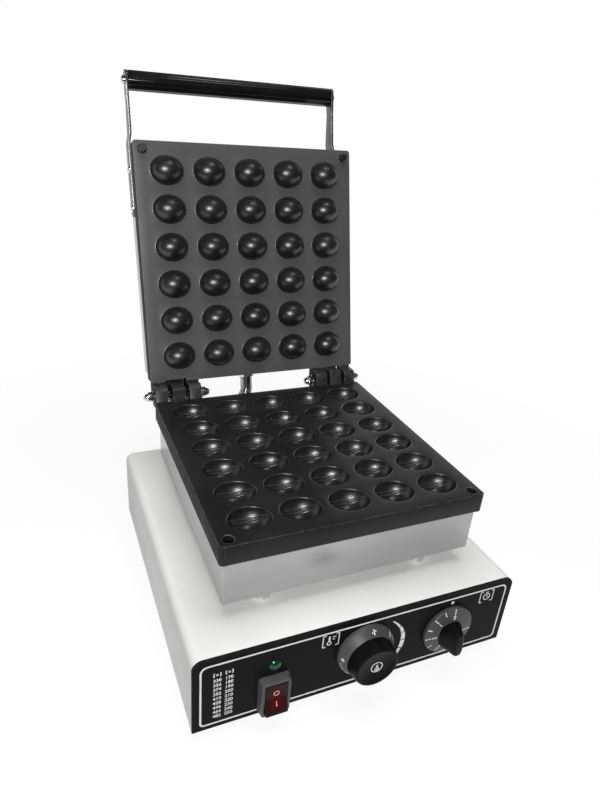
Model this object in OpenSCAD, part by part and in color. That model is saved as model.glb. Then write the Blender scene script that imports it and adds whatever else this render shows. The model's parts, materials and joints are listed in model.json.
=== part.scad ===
// Walnut waffle maker: a cast plate with half-walnut cavities and one with domes that fit
// in them, each in a polished heater box. The lower one stands on pillars over the base, the
// upper one is the lid, drawn fully open. Millimetres, X to the right, Y to the rear, Z up.
// The machine frame has its origin at the centre of the lower plate's baking face.
// The half frame, shared by both halves, has its origin on the hinge axis, its baking face
// just below z = 0 and the plate toward -Y. The lid is such a half turned over.

/* [Baking plates] */
// Cavity columns, side by side
cav_cols = 5; // [3:1:8]
// Cavity rows, front to rear
cav_rows = 6; // [3:1:9]
// Pitch of the columns
cav_pitch_x = 45; // [36:1:60]
// Pitch of the rows
cav_pitch_y = 38.7; // [32:0.1:50]
// Length of a cavity's mouth, across the machine
cav_l = 38; // [28:0.1:42]
// Width of a cavity's mouth
cav_w = 32.4; // [32:0.1:35]
// Depth of a cavity
cav_h = 16; // [10:0.1:16]
// Thickness of a walnut shell, between a cavity and the lid's dome in it
wafer_t = 2; // [1.5:0.1:4]
// Width of a plate
plate_w = 246; // [220:1:300]
// Length of a plate, front to rear
plate_l = 250.4; // [240:0.1:300]
// Thickness of a plate
plate_t = 18.5; // [16:0.1:24]
// Radius of a plate's corners
plate_r = 4.5; // [2:0.1:12]
// Gap between the closed plates
plate_gap = 0.5; // [0.3:0.1:2]
// Diameter of the screw bosses under a plate
boss_d = 12; // [10:0.5:16]
// Distance of the boss centres in from the sides of the heater boxes
boss_in = 19; // [12:0.5:26]

/* [Hinges] */
// Distance of the hinge axis behind the plates
hinge_reach = 14.6; // [13:0.1:20]
// Distance of each hinge's middle from the machine's middle
hinge_x = 95.5; // [70:0.5:110]
// Width over a fork's two lugs
fork_w = 51; // [44:0.5:60]
// Thickness of one fork lug
lug_t = 13.8; // [8:0.1:16]
// Thickness of the tongue between the lugs
tongue_t = 14; // [8:0.1:18]
// Width across the flats of the hinge barrels
barrel_d = 24; // [18:0.5:26]
// Depth of the lugs' webs below the baking face
web_h = 17; // [12:0.5:18]
// Depth of the notch in the casting between its lugs
notch_d = 3; // [1:0.5:6]
// Diameter of the hinge bolts
hinge_bolt_d = 6; // [4:0.5:10]
// Angle of the open lid from closed
open_angle = 104.7; // [90:0.1:120]
// Height of the stop heel's flat face
heel_h = 8; // [4:0.5:10]
// Start of the heel's face, below the baking face
heel_z = 2; // [1:0.5:6]
// Gap at the heel when the lid rests on it
heel_gap = 0.25; // [0.1:0.05:0.5]
// Diameter of the hinge washers
hinge_washer_d = 12; // [9:0.5:18]
// Thickness of the hinge washers
hinge_washer_t = 1.2; // [0.8:0.1:2]
// Width across flats of the acorn nuts
acorn_af = 10; // [8:0.5:14]
// Height of an acorn nut's hexagon
acorn_hex_h = 5.5; // [3:0.5:8]
// Height of an acorn nut
acorn_h = 10.5; // [8:0.5:16]

/* [Heater boxes] */
// Width of a heater box
box_w = 238; // [210:1:290]
// Length of a heater box, front to rear
box_l = 242; // [230:1:290]
// Height of a heater box
box_h = 43.5; // [30:0.5:60]
// Sheet thickness of a heater box
box_sheet = 1.2; // [0.8:0.1:2]
// Diameter of a heating element's tube
element_d = 8; // [6:0.5:10]
// Half the square that an element's tube runs on
element_half = 84; // [60:1:95]
// Bend radius of an element's corners
element_r = 30; // [20:1:45]
// Half the opening between an element's two ends
element_end = 16; // [12:1:30]
// Thickness of the element clamps
clamp_t = 2; // [1:0.5:4]
// Length of an element clamp
clamp_l = 36; // [28:1:50]
// Width of an element clamp
clamp_w = 12; // [8:1:20]
// Thickness of the insulation
wool_t = 15; // [10:1:25]
// Clearance between the insulation and the box's walls
wool_gap = 1; // [0.5:0.5:4]

/* [Base] */
// Width of the base
base_w = 304; // [280:1:360]
// Length of the base
base_l = 313.2; // [290:0.1:380]
// Height of the base without its feet
base_h = 77.2; // [70:0.1:120]
// Distance of the base's middle behind the plates' middle
base_back = 2.9; // [-10:0.1:20]
// Bend radius of the base's upper edges
base_r = 9; // [4:0.5:16]
// Sheet thickness of the base housing
base_sheet = 1.5; // [1:0.1:3]
// Width of the flanges inside the base
flange_w = 14; // [10:0.5:18]
// Thickness of the bottom plate
bottom_t = 1.5; // [1:0.1:3]
// Thickness of the front panel
panel_t = 2; // [1.5:0.1:4]
// Height of the rubber feet
foot_h = 10; // [6:0.5:20]
// Diameter of the rubber feet
foot_d = 24; // [18:0.5:30]
// Distance of the foot centres from the base's edges
foot_in = 32; // [20:1:50]
// Diameter of the pillars
pillar_d = 16; // [10:0.5:18]
// Height of the pillars
pillar_h = 16.1; // [10:0.1:30]
// Distance of the pillars from the plates' screw bosses, sideways
pillar_beside = 22; // [16:1:35]

/* [Fasteners] */
// Diameter of the machine screws
screw_d = 4; // [3:0.5:5]
// Diameter of their heads
screw_head_d = 7.6; // [6:0.1:10]
// Height of their heads
screw_head_h = 2.4; // [1.5:0.1:4]
// Width across flats of their nuts
screw_nut_af = 7; // [5.5:0.5:10]
// Height of their nuts
screw_nut_h = 3.2; // [2:0.1:5]
// Clearance of a screw in its hole, on the radius
screw_clear = 0.25; // [0.1:0.05:0.5]
// Clearance of a seated pin or thread, on the radius
seat_clear = 0.03; // [0.01:0.01:0.1]
// Clearance of a turning shaft, on the radius
turn_clear = 0.05; // [0.02:0.01:0.1]
// Gap between pieces that move past each other
run_gap = 0.4; // [0.3:0.1:1]

/* [Handle] */
// Thickness of the handle arms
arm_t = 2.5; // [2:0.1:5]
// Distance of the first arm screw from the cover's front edge
arm_screw_in = 18.8; // [10:0.1:30]
// Distance between an arm's two screws
arm_screw_gap = 40; // [20:1:80]
// Arm's edge on the side of the baking face, from its middle line
arm_near = 5.6; // [5:0.1:12]
// Arm's edge on the side of the cover's back, from its middle line
arm_far = 12.4; // [6:0.1:16]
// Length of the arm's wide part beyond the cover
arm_wide = 12; // [0:0.5:30]
// Length of the arm's tapered part
arm_taper = 39; // [20:1:60]
// Half width of the arm at the end of its taper
arm_tip = 6.8; // [5:0.1:10]
// Inward joggle of the arm
joggle = 2; // [0:0.1:6]
// Start of the joggle beyond the cover
joggle_start = 7; // [1:0.5:10]
// Length of the joggle
joggle_l = 12; // [6:0.5:30]
// Distance of the grip's axis beyond the cover's front edge
grip_reach = 69.7; // [55:0.1:110]
// Diameter of the grip
grip_d = 20; // [16:0.5:30]
// Diameter of the rod in the grip
rod_d = 6; // [4:0.5:8]
// Diameter of the domed nuts at the ends of the rod
dome_d = 9; // [7:0.5:14]
// Height of the domed nuts
dome_h = 4.2; // [3:0.1:8]

/* [Locating pins] */
// Diameter of the pins
pin_d = 8.6; // [6:0.1:10]
// Height of the pins over the lid's face
pin_h = 5; // [3:0.5:8]
// Diameter of the pins' seated stems
pin_stem_d = 6; // [4:0.5:7]
// Depth of the pin holes
pin_hole_h = 7; // [5.5:0.5:12]
// Clearance of a pin in the lower plate, on the radius
pin_clear = 0.4; // [0.3:0.1:1]
// Distance of the pins from the plate's side edges
pin_in_x = 9; // [7:0.5:14]
// Distance of the pins from the plate's front edge
pin_in_y = 8.6; // [7:0.1:14]

/* [Conduit] */
// Sideways place of the conduit's upper end
conduit_x = -1.5; // [-20:0.5:20]
// Sideways place of the conduit's lower end
conduit_low_x = -46; // [-70:0.5:20]
// Diameter over the conduit's ribs
conduit_d = 14.4; // [10:0.1:18]
// Height of a rib over the groove beside it
rib_h = 1.1; // [0.5:0.1:2]
// Number of ribs
rib_count = 56; // [20:1:80]
// Wall under the grooves
conduit_wall = 1.6; // [1:0.1:3]
// Height of the conduit's lower end over the bottom of the base
conduit_z = 35.3; // [20:0.1:50]
// Pull of the curve at the conduit's lower end
conduit_low_pull = 75; // [40:1:90]
// Pull of the curve at the conduit's upper end
conduit_top_pull = 25; // [15:1:60]
// Width across flats of the conduit's hex connectors
connector_af = 19; // [16:0.5:26]
// Length of a connector
connector_l = 12.5; // [8:0.5:20]
// Diameter of a connector's threaded stub
stub_d = 14; // [10:0.5:18]

/* [Switch and lamp] */
// Sideways place of the switch and the lamp
switch_x = -84.2; // [-110:0.1:-60]
// Height of the switch's middle from the panel's middle
switch_z = -16.6; // [-18:0.1:10]
// Width of the switch's bezel
bezel_w = 28; // [20:0.5:36]
// Height of the switch's bezel
bezel_l = 39; // [30:0.5:44]
// Depth of the bezel in front of the panel
bezel_h = 8; // [4:0.5:12]
// Slope of the bezel's sides
bezel_slope = 1.6; // [0:0.1:4]
// Width of the rocker
rocker_w = 19; // [12:0.5:28]
// Height of the rocker
rocker_l = 31; // [20:0.5:36]
// Tilt of the rocker in each of its two positions
rocker_tilt = 9; // [3:0.5:12]
// Depth of the switch's body behind the panel
switch_deep = 24; // [15:1:35]
// Height of the lamp's middle from the panel's middle
lamp_z = 13.7; // [5:0.1:25]
// Diameter of the lamp's lens
lens_d = 10.4; // [8:0.1:16]
// Height of the lens in front of the panel
lens_h = 3.4; // [2:0.1:6]
// Diameter of the lens's stem
lens_stem_d = 7.8; // [6:0.1:12]
// Depth of the lamp's body behind the panel
lamp_deep = 20; // [12:1:35]

/* [Thermostat and timer] */
// Sideways place of the thermostat
thermo_x = -1.8; // [-20:0.1:20]
// Height of the thermostat from the panel's middle
thermo_z = 3.7; // [-8:0.1:8]
// Diameter of the thermostat knob's skirt
thermo_skirt_d = 53.2; // [44:0.1:60]
// Diameter of the thermostat knob behind its rounded edge
thermo_d = 44; // [34:0.5:50]
// Diameter of the thermostat knob's face
thermo_face_d = 39.6; // [30:0.1:46]
// Height of the thermostat knob in front of the panel
thermo_h = 23.5; // [16:0.5:30]
// Sideways place of the timer
timer_x = 84; // [60:0.1:105]
// Height of the timer from the panel's middle
timer_z = -1.8; // [-8:0.1:8]
// Diameter of the timer knob's skirt
timer_skirt_d = 50.8; // [44:0.1:60]
// Width of the timer knob's bar at its front
timer_bar_w = 10; // [6:0.5:16]
// Width of the bar's foot on the skirt
timer_foot_w = 24; // [16:0.5:32]
// Reach of the bar's pointing end from the shaft
timer_bar_up = 12.5; // [8:0.5:20]
// Reach of the bar's other end
timer_bar_down = 17; // [8:0.5:20]
// Height of the timer knob in front of the panel
timer_h = 21; // [18:0.5:28]
// Thickness of the knobs' skirts
skirt_t = 4; // [2:0.5:6]
// Diameter of the knob shafts
shaft_d = 6; // [5:0.5:8]
// Diameter of the threaded bushings around the shafts
bushing_d = 9.5; // [8:0.5:14]
// Depth of the thermostat behind the panel
thermo_deep = 22; // [15:1:40]
// Width of the thermostat's body
thermo_body_w = 36; // [30:1:38]
// Diameter of the timer's body
timer_body_d = 42; // [30:1:46]
// Depth of the timer behind the panel
timer_deep = 30; // [20:1:45]
// Diameter of the thermostat's capillary
capillary_d = 2; // [1.5:0.1:3]
// Diameter of the thermostat's bulb
bulb_d = 6; // [4:0.5:9]
// Length of the thermostat's bulb
bulb_l = 60; // [40:1:90]

/* [Hidden] */
$fn = 48;
eps = 0.1;
// Depth that a thread or pin stops short of the bottom of its hole
end_gap = 0.5;
touch_gap = 0.3;
tube_clear = 0.05;
// Heights in the machine frame
box_floor = -plate_t - box_h;
base_top = box_floor - pillar_h;
base_floor = base_top - base_h;
hinge_y = plate_l / 2 + hinge_reach;
hinge_z = plate_gap / 2;
face_z = -plate_gap / 2;
base_front = base_back - base_l / 2;
base_rear = base_back + base_l / 2;
panel_y = base_front - panel_t;
panel_mid_z = base_top - base_h / 2;
// Places in the half frame
half_mid_y = -hinge_y;
box_back_y = half_mid_y + box_l / 2;
box_front_y = half_mid_y - box_l / 2;
under_z = face_z - plate_t;
floor_z = under_z - box_h;
wool_z = floor_z + box_sheet;
element_z = under_z - touch_gap - element_d / 2;
arm_z = under_z - box_h / 2;
boss_x = box_w / 2 - boss_in;
boss_y = box_l / 2 - boss_in;
pillar_x = boss_x - pillar_beside;
pillar_y = boss_y;
grip_y = box_front_y - grip_reach;
arm_x = box_w / 2;
grip_x = arm_x - joggle;
pin_x = plate_w / 2 - pin_in_x;
pin_y = half_mid_y - plate_l / 2 + pin_in_y;
// The open lid's directions: along its face from the hinge, and out of its back
open_c = cos(open_angle);
open_s = sin(open_angle);
function lid_at(y, z) = [hinge_y + y * open_c - z * open_s, hinge_z - y * open_s - z * open_c];
// The part's frame: origin under the middle of everything, on the floor
knob_out = max(thermo_h, timer_h);
front_y = panel_y - knob_out;
rear_y = lid_at(grip_y, arm_z)[0] + grip_d / 2;
mid_y = (front_y + rear_y) / 2;
lift_z = foot_h - base_floor;
// Frames that the pieces are drawn in
module machine() { translate([0, -mid_y, lift_z]) children(); }
module lower_half() { machine() translate([0, hinge_y, hinge_z]) children(); }
module lid_half() { lower_half() rotate([-open_angle, 0, 0]) rotate([0, 180, 0]) children(); }
module on_panel(x, z) { machine() translate([x, panel_y, panel_mid_z + z]) rotate([90, 0, 0]) children(); }
// Shapes that repeat
module along_x(x0, len) { translate([x0, 0, 0]) rotate([90, 0, 90]) linear_extrude(len) children(); }
module along_y(y0, len) { translate([0, y0 + len, 0]) rotate([90, 0, 0]) linear_extrude(len) children(); }
module rod_x(x0, len, d) { translate([x0, 0, 0]) rotate([0, 90, 0]) cylinder(h = len, d = d); }
module rod_y(y0, len, d) { translate([0, y0 + len, 0]) rotate([90, 0, 0]) cylinder(h = len, d = d); }
module box_at(x0, x1, y0, y1, z0, z1) { translate([x0, y0, z0]) cube([x1 - x0, y1 - y0, z1 - z0]); }
module hex(af, h) { cylinder(h = h, d = af / cos(30), $fn = 6); }
module hex_nut(af, h, bore) {
    difference() {
        hex(af, h);
        translate([0, 0, -eps]) cylinder(h = h + 2 * eps, d = bore);
    }
}
module rounded(w, l, r) {
    square([w - 2 * r, l], center = true);
    square([w, l - 2 * r], center = true);
    for (x = [-1, 1], y = [-1, 1]) translate([x * (w / 2 - r), y * (l / 2 - r)]) circle(r);
}
module rounded_slab(w, l, h, r) { linear_extrude(h) rounded(w, l, r); }
// An upright outline with its upper corners rounded and its foot at v = 0
module arch(w, h, r) {
    translate([-w / 2, 0]) square([w, h - r]);
    translate([-w / 2 + r, 0]) square([w - 2 * r, h]);
    for (x = [-1, 1]) translate([x * (w / 2 - r), h - r]) circle(r);
}
module corners(x, y) { for (i = [-1, 1], j = [-1, 1]) translate([i * x, j * y, 0]) children(); }
// A pan-head screw: its head above z = 0 and its thread down from there
module screw(len) {
    translate([0, 0, -len]) cylinder(h = len, d = screw_d - 2 * seat_clear);
    cylinder(h = screw_head_h, d1 = screw_head_d, d2 = screw_head_d - screw_head_h / 2);
}
screw_bore = screw_d;
screw_hole = screw_d + 2 * screw_clear;

// Castings
// A cavity is part of an egg that lies along X with its middle above the face. A dome is that egg less the shell
cav_r = (cav_w * cav_w / 4 + cav_h * cav_h) / (2 * cav_h);
cav_up = cav_r - cav_h;
cav_a = cav_l / 2 * cav_r * 2 / cav_w;
module egg(a, r) {
    rotate([0, 90, 0]) rotate_extrude() polygon([for (t = [0 : 15 : 180]) [r * sin(t), a * cos(t)]]);
}
module at_cavities() {
    for (i = [0 : cav_cols - 1], j = [0 : cav_rows - 1])
        translate([(i - (cav_cols - 1) / 2) * cav_pitch_x, (j - (cav_rows - 1) / 2) * cav_pitch_y, 0])
            children();
}
module at_half_middle(z) { translate([0, half_mid_y, z]) children(); }
// A barrel is a square bar with its corners cut to a radius round the axis: a lug's turns
// clear of the other plate's rear edge, a tongue's inside the notch
barrel_half = barrel_d / 2;
lug_r = hinge_reach - heel_gap;
tongue_r = hinge_reach + notch_d - 3 * run_gap;
module web_shape(r) {
    flat = sqrt(r * r - barrel_half * barrel_half);
    polygon([for (i = [[1, 1], [-1, 1], [-1, -1], [1, -1]], k = [0, 1])
        i[0] * i[1] > 0 == (k == 0) ? [i[0] * barrel_half, i[1] * flat] : [i[0] * flat, i[1] * barrel_half]]);
    translate([-hinge_reach - notch_d, -web_h + face_z]) square([hinge_reach + notch_d, web_h]);
}
// Heel of the fork, whose flat face meets the other casting's rear edge when open
module heel_shape() {
    a = hinge_reach - heel_gap;
    polygon([for (p = [[0, heel_z], [a, heel_z], [a, heel_z + heel_h], [0, heel_z + heel_h]])
        [-p[0] * open_c + p[1] * open_s, p[0] * open_s + p[1] * open_c]]);
}
// Floor between a fork's lugs, clear of the tongue's barrel
fork_floor_z = -tongue_r - run_gap;
module fork_lugs() {
    box_at(hinge_x - fork_w / 2 + lug_t / 2, hinge_x + fork_w / 2 - lug_t / 2,
        -hinge_reach - notch_d, 0, under_z, fork_floor_z);
    for (x0 = [hinge_x - fork_w / 2, hinge_x + fork_w / 2 - lug_t]) {
        along_x(x0, lug_t) web_shape(lug_r);
        along_x(x0, lug_t) heel_shape();
    }
}
module tongue() { along_x(-hinge_x - tongue_t / 2, tongue_t) web_shape(tongue_r); }
module casting(hole_d, domed) {
    difference() {
        union() {
            at_half_middle(under_z) rounded_slab(plate_w, plate_l, plate_t, plate_r);
            at_half_middle(floor_z + box_sheet) corners(boss_x, boss_y)
                cylinder(h = box_h - box_sheet + eps, d = boss_d);
            fork_lugs();
            tongue();
            if (domed) at_half_middle(-face_z - cav_up) at_cavities() egg(cav_a - wafer_t, cav_r - wafer_t);
        }
        if (!domed) at_half_middle(face_z + cav_up) at_cavities() egg(cav_a, cav_r);
        at_half_middle(floor_z) corners(boss_x, boss_y) cylinder(h = box_h - boss_d, d = screw_bore);
        notch = fork_w - 2 * lug_t;
        box_at(hinge_x - notch / 2, hinge_x + notch / 2,
            -hinge_reach - notch_d, -hinge_reach + eps, fork_floor_z, barrel_d);
        rod_x(hinge_x - fork_w / 2 - eps, fork_w + 2 * eps, hinge_bolt_d + 2 * turn_clear);
        rod_x(-hinge_x - tongue_t / 2 - eps, tongue_t + 2 * eps, hinge_bolt_d + 2 * turn_clear);
        for (x = [-pin_x, pin_x]) translate([x, pin_y, face_z - pin_hole_h])
            cylinder(h = pin_hole_h + eps, d = hole_d);
    }
}
module lower_plate() { color("dimgray") lower_half() casting(pin_d + 2 * pin_clear, false); }
module upper_plate() { color("dimgray") lid_half() casting(pin_stem_d + 2 * seat_clear, true); }

// Heater boxes, open toward the plate
module heater_box() {
    difference() {
        at_half_middle(floor_z) translate([-box_w / 2, -box_l / 2, 0]) cube([box_w, box_l, box_h]);
        at_half_middle(wool_z) translate([box_sheet - box_w / 2, box_sheet - box_l / 2, 0])
            cube([box_w - 2 * box_sheet, box_l - 2 * box_sheet, box_h]);
        at_half_middle(floor_z - eps) corners(boss_x, boss_y)
            cylinder(h = box_sheet + 2 * eps, d = screw_hole);
    }
}
module lower_heater_box() {
    color("silver") lower_half() difference() {
        heater_box();
        at_half_middle(floor_z - eps) corners(pillar_x, pillar_y)
            cylinder(h = box_sheet + 2 * eps, d = screw_hole);
        at_half_middle(floor_z - eps) translate([0, wire_y, 0])
            cylinder(h = box_sheet + 2 * eps, d = wire_tube_d + 2 * tube_clear);
    }
}
module at_arm_screws() {
    for (k = [0, 1]) translate([0, box_front_y + arm_screw_in + k * arm_screw_gap, arm_z]) children();
}
module upper_heater_cover() {
    color("silver") lid_half() difference() {
        heater_box();
        at_arm_screws() rod_x(-box_w, 2 * box_w, screw_hole);
        translate([-conduit_x, 0, arm_z]) rod_y(box_back_y - box_sheet - eps, box_sheet + 2 * eps, stub_hole);
    }
}
module plate_screws() {
    at_half_middle(floor_z) corners(boss_x, boss_y) rotate([180, 0, 0]) screw(box_h - boss_d - end_gap);
}
module lower_plate_screws() { color("gainsboro") lower_half() plate_screws(); }
module upper_plate_screws() { color("gainsboro") lid_half() plate_screws(); }

// Heating element: a tube on a rounded square, open toward the hinge
element_side = element_half - element_r;
module element() {
    translate([0, half_mid_y, element_z]) {
        for (s = [-1, 1]) {
            translate([s * element_half, 0, 0]) rod_y(-element_side, 2 * element_side, element_d);
            translate([0, element_half, 0])
                rod_x(s > 0 ? element_end : -element_side, element_side - element_end, element_d);
            translate([0, element_half, 0]) rod_x(s * element_end - s * terminal_l / 2 - terminal_l / 2,
                terminal_l, terminal_d);
        }
        translate([0, -element_half, 0]) rod_x(-element_side, 2 * element_side, element_d);
        for (i = [-1, 1], j = [-1, 1]) translate([i * element_side, j * element_side, 0])
            rotate([0, 0, i > 0 ? (j > 0 ? 0 : 270) : (j > 0 ? 90 : 180)])
                rotate_extrude(angle = 90) translate([element_r, 0]) circle(d = element_d);
    }
}
terminal_l = 10;
terminal_d = 3;
module lower_heating_element() { color("sienna") lower_half() element(); }
module upper_heating_element() { color("sienna") lid_half() element(); }
// Clamps arch over the tube's straight sides and screw up into the casting
module clamp_shape() {
    h = element_d + touch_gap;
    difference() {
        union() {
            translate([-clamp_l / 2, -clamp_t]) square([clamp_l, clamp_t]);
            translate([-element_d / 2 - clamp_t, -h - clamp_t])
                square([element_d + 2 * clamp_t, h + clamp_t]);
        }
        translate([-element_d / 2 - tube_clear, -h - tube_clear])
            square([element_d + 2 * tube_clear, h + 2 * tube_clear]);
    }
}
module at_clamps() {
    for (a = [0 : 90 : 270]) if (a != 90)
        translate([0, half_mid_y, under_z]) rotate([0, 0, a]) translate([element_half, 0, 0]) children();
}
clamp_screw_x = (clamp_l / 2 + element_d / 2 + clamp_t) / 2;
clamp_screw_d = 3;
clamp_head_d = 5;
clamp_head_h = 1.8;
module clamps() {
    at_clamps() difference() {
        along_y(-clamp_w / 2, clamp_w) clamp_shape();
        for (s = [-1, 1]) translate([s * clamp_screw_x, 0, -clamp_t - eps])
            cylinder(h = clamp_t + 2 * eps, d = clamp_screw_d);
    }
}
module clamp_screws() {
    at_clamps() for (s = [-1, 1]) translate([s * clamp_screw_x, 0, -clamp_t]) {
        translate([0, 0, -clamp_head_h]) cylinder(h = clamp_head_h, d = clamp_head_d);
        cylinder(h = clamp_t, d = clamp_screw_d - 2 * seat_clear);
    }
}
module lower_element_clamps() { color("lightgray") lower_half() clamps(); }
module upper_element_clamps() { color("lightgray") lid_half() clamps(); }
module lower_clamp_screws() { color("gainsboro") lower_half() clamp_screws(); }
module upper_clamp_screws() { color("gainsboro") lid_half() clamp_screws(); }

// Insulation on the box's floor, cut round bosses, bolts and the tube
module wool() {
    difference() {
        at_half_middle(wool_z) translate([wool_side - box_w / 2, wool_side - box_l / 2, 0])
            cube([box_w - 2 * wool_side, box_l - 2 * wool_side, wool_t]);
        at_half_middle(floor_z) corners(boss_x, boss_y) cylinder(h = box_h, d = boss_d + 2 * wool_gap);
        at_half_middle(floor_z) corners(pillar_x, pillar_y)
            cylinder(h = box_h, d = screw_head_d + 2 * wool_gap);
        at_half_middle(floor_z) translate([0, wire_y, 0]) cylinder(h = box_h, d = wire_tube_d + 2 * wool_gap);
        translate([-conduit_x, 0, arm_z]) rod_y(box_back_y - stub_room, stub_room, stub_room);
    }
}
stub_room = 30;
wool_side = box_sheet + wool_gap;
module lower_insulation() { color("ivory") lower_half() wool(); }
module upper_insulation() { color("ivory") lid_half() wool(); }

// Base
wire_y = 72;
wire_tube_d = 10;
wire_bore_d = 8;
wire_over = 5;
housing_h = base_h - bottom_t;
housing_z = base_floor + bottom_t;
module at_base(z) { translate([0, base_back, z]) children(); }
stud_d = 3;
stud_x = base_w / 2 - base_sheet - flange_w / 2;
stud_z = base_h / 2 - base_r - flange_w / 2;
bottom_screw_x = base_w / 2 - base_sheet - flange_w / 2;
bottom_screw_y = base_l / 2 - flange_w - foot_in;
gland_x = 90;
gland_z = 27;
gland_d = 14;
stub_hole = stub_d + 2 * seat_clear;
module base_housing() {
    color("whitesmoke") machine() difference() {
        translate([0, 0, housing_z]) along_y(base_front, base_l) arch(base_w, housing_h, base_r);
        translate([0, 0, housing_z + base_sheet]) along_y(base_front + base_sheet, base_l - 2 * base_sheet)
            arch(base_w - 2 * base_sheet, housing_h - 2 * base_sheet, base_r - base_sheet);
        box_at(-inner_x, inner_x, base_front - eps, base_front + 2 * base_sheet,
            housing_z - eps, base_top - base_sheet - flange_w);
        box_at(-inner_x, inner_x, base_front - eps, base_rear - base_sheet - flange_w,
            housing_z - eps, housing_z + 2 * base_sheet);
        translate([0, 0, base_top - base_sheet - eps]) corners(pillar_x, pillar_y)
            cylinder(h = base_sheet + 2 * eps, d = screw_hole);
        translate([0, wire_y, base_top - base_sheet - eps])
            cylinder(h = base_sheet + 2 * eps, d = wire_tube_d + 2 * tube_clear);
        for (i = [-1, 1], j = [-1, 1]) translate([i * stud_x, 0, panel_mid_z + j * stud_z])
            rod_y(base_front - eps, base_sheet + 2 * eps, stud_d + 2 * screw_clear);
        translate([conduit_low_x, 0, base_floor + conduit_z])
            rod_y(base_rear - base_sheet - eps, base_sheet + 2 * eps, stub_hole);
        translate([gland_x, 0, base_floor + gland_z])
            rod_y(base_rear - base_sheet - eps, base_sheet + 2 * eps, gland_d + 2 * seat_clear);
        at_base(housing_z - eps) corners(bottom_screw_x, bottom_screw_y)
            cylinder(h = base_sheet + 2 * eps, d = screw_bore);
    }
}
inner_x = base_w / 2 - base_sheet - flange_w;
foot_x = base_w / 2 - foot_in;
foot_y = base_l / 2 - foot_in;
weld_nut_d = 10;
weld_nut_h = 4;
module base_bottom_plate() {
    color("silver") machine() difference() {
        union() {
            at_base(base_floor) translate([-base_w / 2, -base_l / 2, 0]) cube([base_w, base_l, bottom_t]);
            at_base(base_floor) corners(foot_x, foot_y) cylinder(h = bottom_t + weld_nut_h, d = weld_nut_d);
        }
        at_base(base_floor - eps) corners(foot_x, foot_y)
            cylinder(h = bottom_t + weld_nut_h + 2 * eps, d = screw_bore);
        at_base(base_floor - eps) corners(bottom_screw_x, bottom_screw_y)
            cylinder(h = bottom_t + 2 * eps, d = screw_hole);
    }
}
module bottom_screws() {
    color("gainsboro") machine() at_base(base_floor) corners(bottom_screw_x, bottom_screw_y)
        rotate([180, 0, 0]) screw(bottom_t + base_sheet + screw_d);
}
foot_taper = 3;
foot_seat = 4;
module rubber_feet() {
    color("black") machine() at_base(base_floor - foot_h) corners(foot_x, foot_y) difference() {
        cylinder(h = foot_h, d1 = foot_d - foot_taper, d2 = foot_d);
        translate([0, 0, -eps]) cylinder(h = foot_h - foot_seat + eps, d = screw_head_d + 2 * run_gap);
        cylinder(h = foot_h + eps, d = screw_hole);
    }
}
module foot_screws() {
    color("gainsboro") machine() at_base(base_floor - foot_seat) corners(foot_x, foot_y)
        rotate([180, 0, 0]) screw(foot_seat + bottom_t + weld_nut_h);
}
module standoff_pillars() {
    color("silver") machine() translate([0, 0, base_top]) corners(pillar_x, pillar_y) difference() {
        cylinder(h = pillar_h, d = pillar_d);
        translate([0, 0, -eps]) cylinder(h = pillar_h + 2 * eps, d = screw_hole);
    }
}
pillar_bolt_l = box_sheet + pillar_h + base_sheet + screw_nut_h + end_gap;
module pillar_bolts() {
    color("gainsboro") machine() translate([0, 0, box_floor + box_sheet]) corners(pillar_x, pillar_y)
        screw(pillar_bolt_l);
}
module pillar_nuts() {
    color("gainsboro") machine() translate([0, 0, base_top - base_sheet - screw_nut_h])
        corners(pillar_x, pillar_y) hex_nut(screw_nut_af, screw_nut_h, screw_bore);
}
module wire_tube() {
    z0 = base_top - base_sheet - wire_over;
    h = box_floor + box_sheet + wire_over - z0;
    color("silver") machine() translate([0, wire_y, z0]) difference() {
        cylinder(h = h, d = wire_tube_d);
        translate([0, 0, -eps]) cylinder(h = h + 2 * eps, d = wire_bore_d);
    }
}

// Front panel, whose studs pass the housing's front flanges
cut_clear = 0.3;
bezel_lip = 1.5;
switch_body_w = bezel_w - 2 * bezel_lip;
switch_body_l = bezel_l - 2 * bezel_lip;
stud_l = panel_t + base_sheet + screw_nut_h + end_gap;
module front_panel() {
    color("darkslategray") difference() {
        union() {
            on_panel(0, -base_h / 2) translate([0, 0, -panel_t]) linear_extrude(panel_t)
                arch(base_w, base_h, base_r);
            for (i = [-1, 1], j = [-1, 1]) on_panel(i * stud_x, j * stud_z)
                translate([0, 0, -stud_l]) cylinder(h = stud_l - eps, d = stud_d);
        }
        on_panel(switch_x, switch_z) translate([0, 0, -panel_t - eps])
            linear_extrude(panel_t + 2 * eps)
                square([switch_body_w + 2 * cut_clear, switch_body_l + 2 * cut_clear], center = true);
        on_panel(switch_x, lamp_z) translate([0, 0, -panel_t - eps])
            cylinder(h = panel_t + 2 * eps, d = lens_stem_d + 2 * tube_clear);
        for (p = [[thermo_x, thermo_z], [timer_x, timer_z]]) on_panel(p[0], p[1])
            translate([0, 0, -panel_t - eps]) cylinder(h = panel_t + 2 * eps, d = bushing_d + 2 * tube_clear);
    }
}
module panel_nuts() {
    color("gainsboro") for (i = [-1, 1], j = [-1, 1]) on_panel(i * stud_x, j * stud_z)
        translate([0, 0, -panel_t - base_sheet - screw_nut_h]) hex_nut(stud_af, screw_nut_h, stud_d + 2 * seat_clear);
}
stud_af = 5.5;

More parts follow.
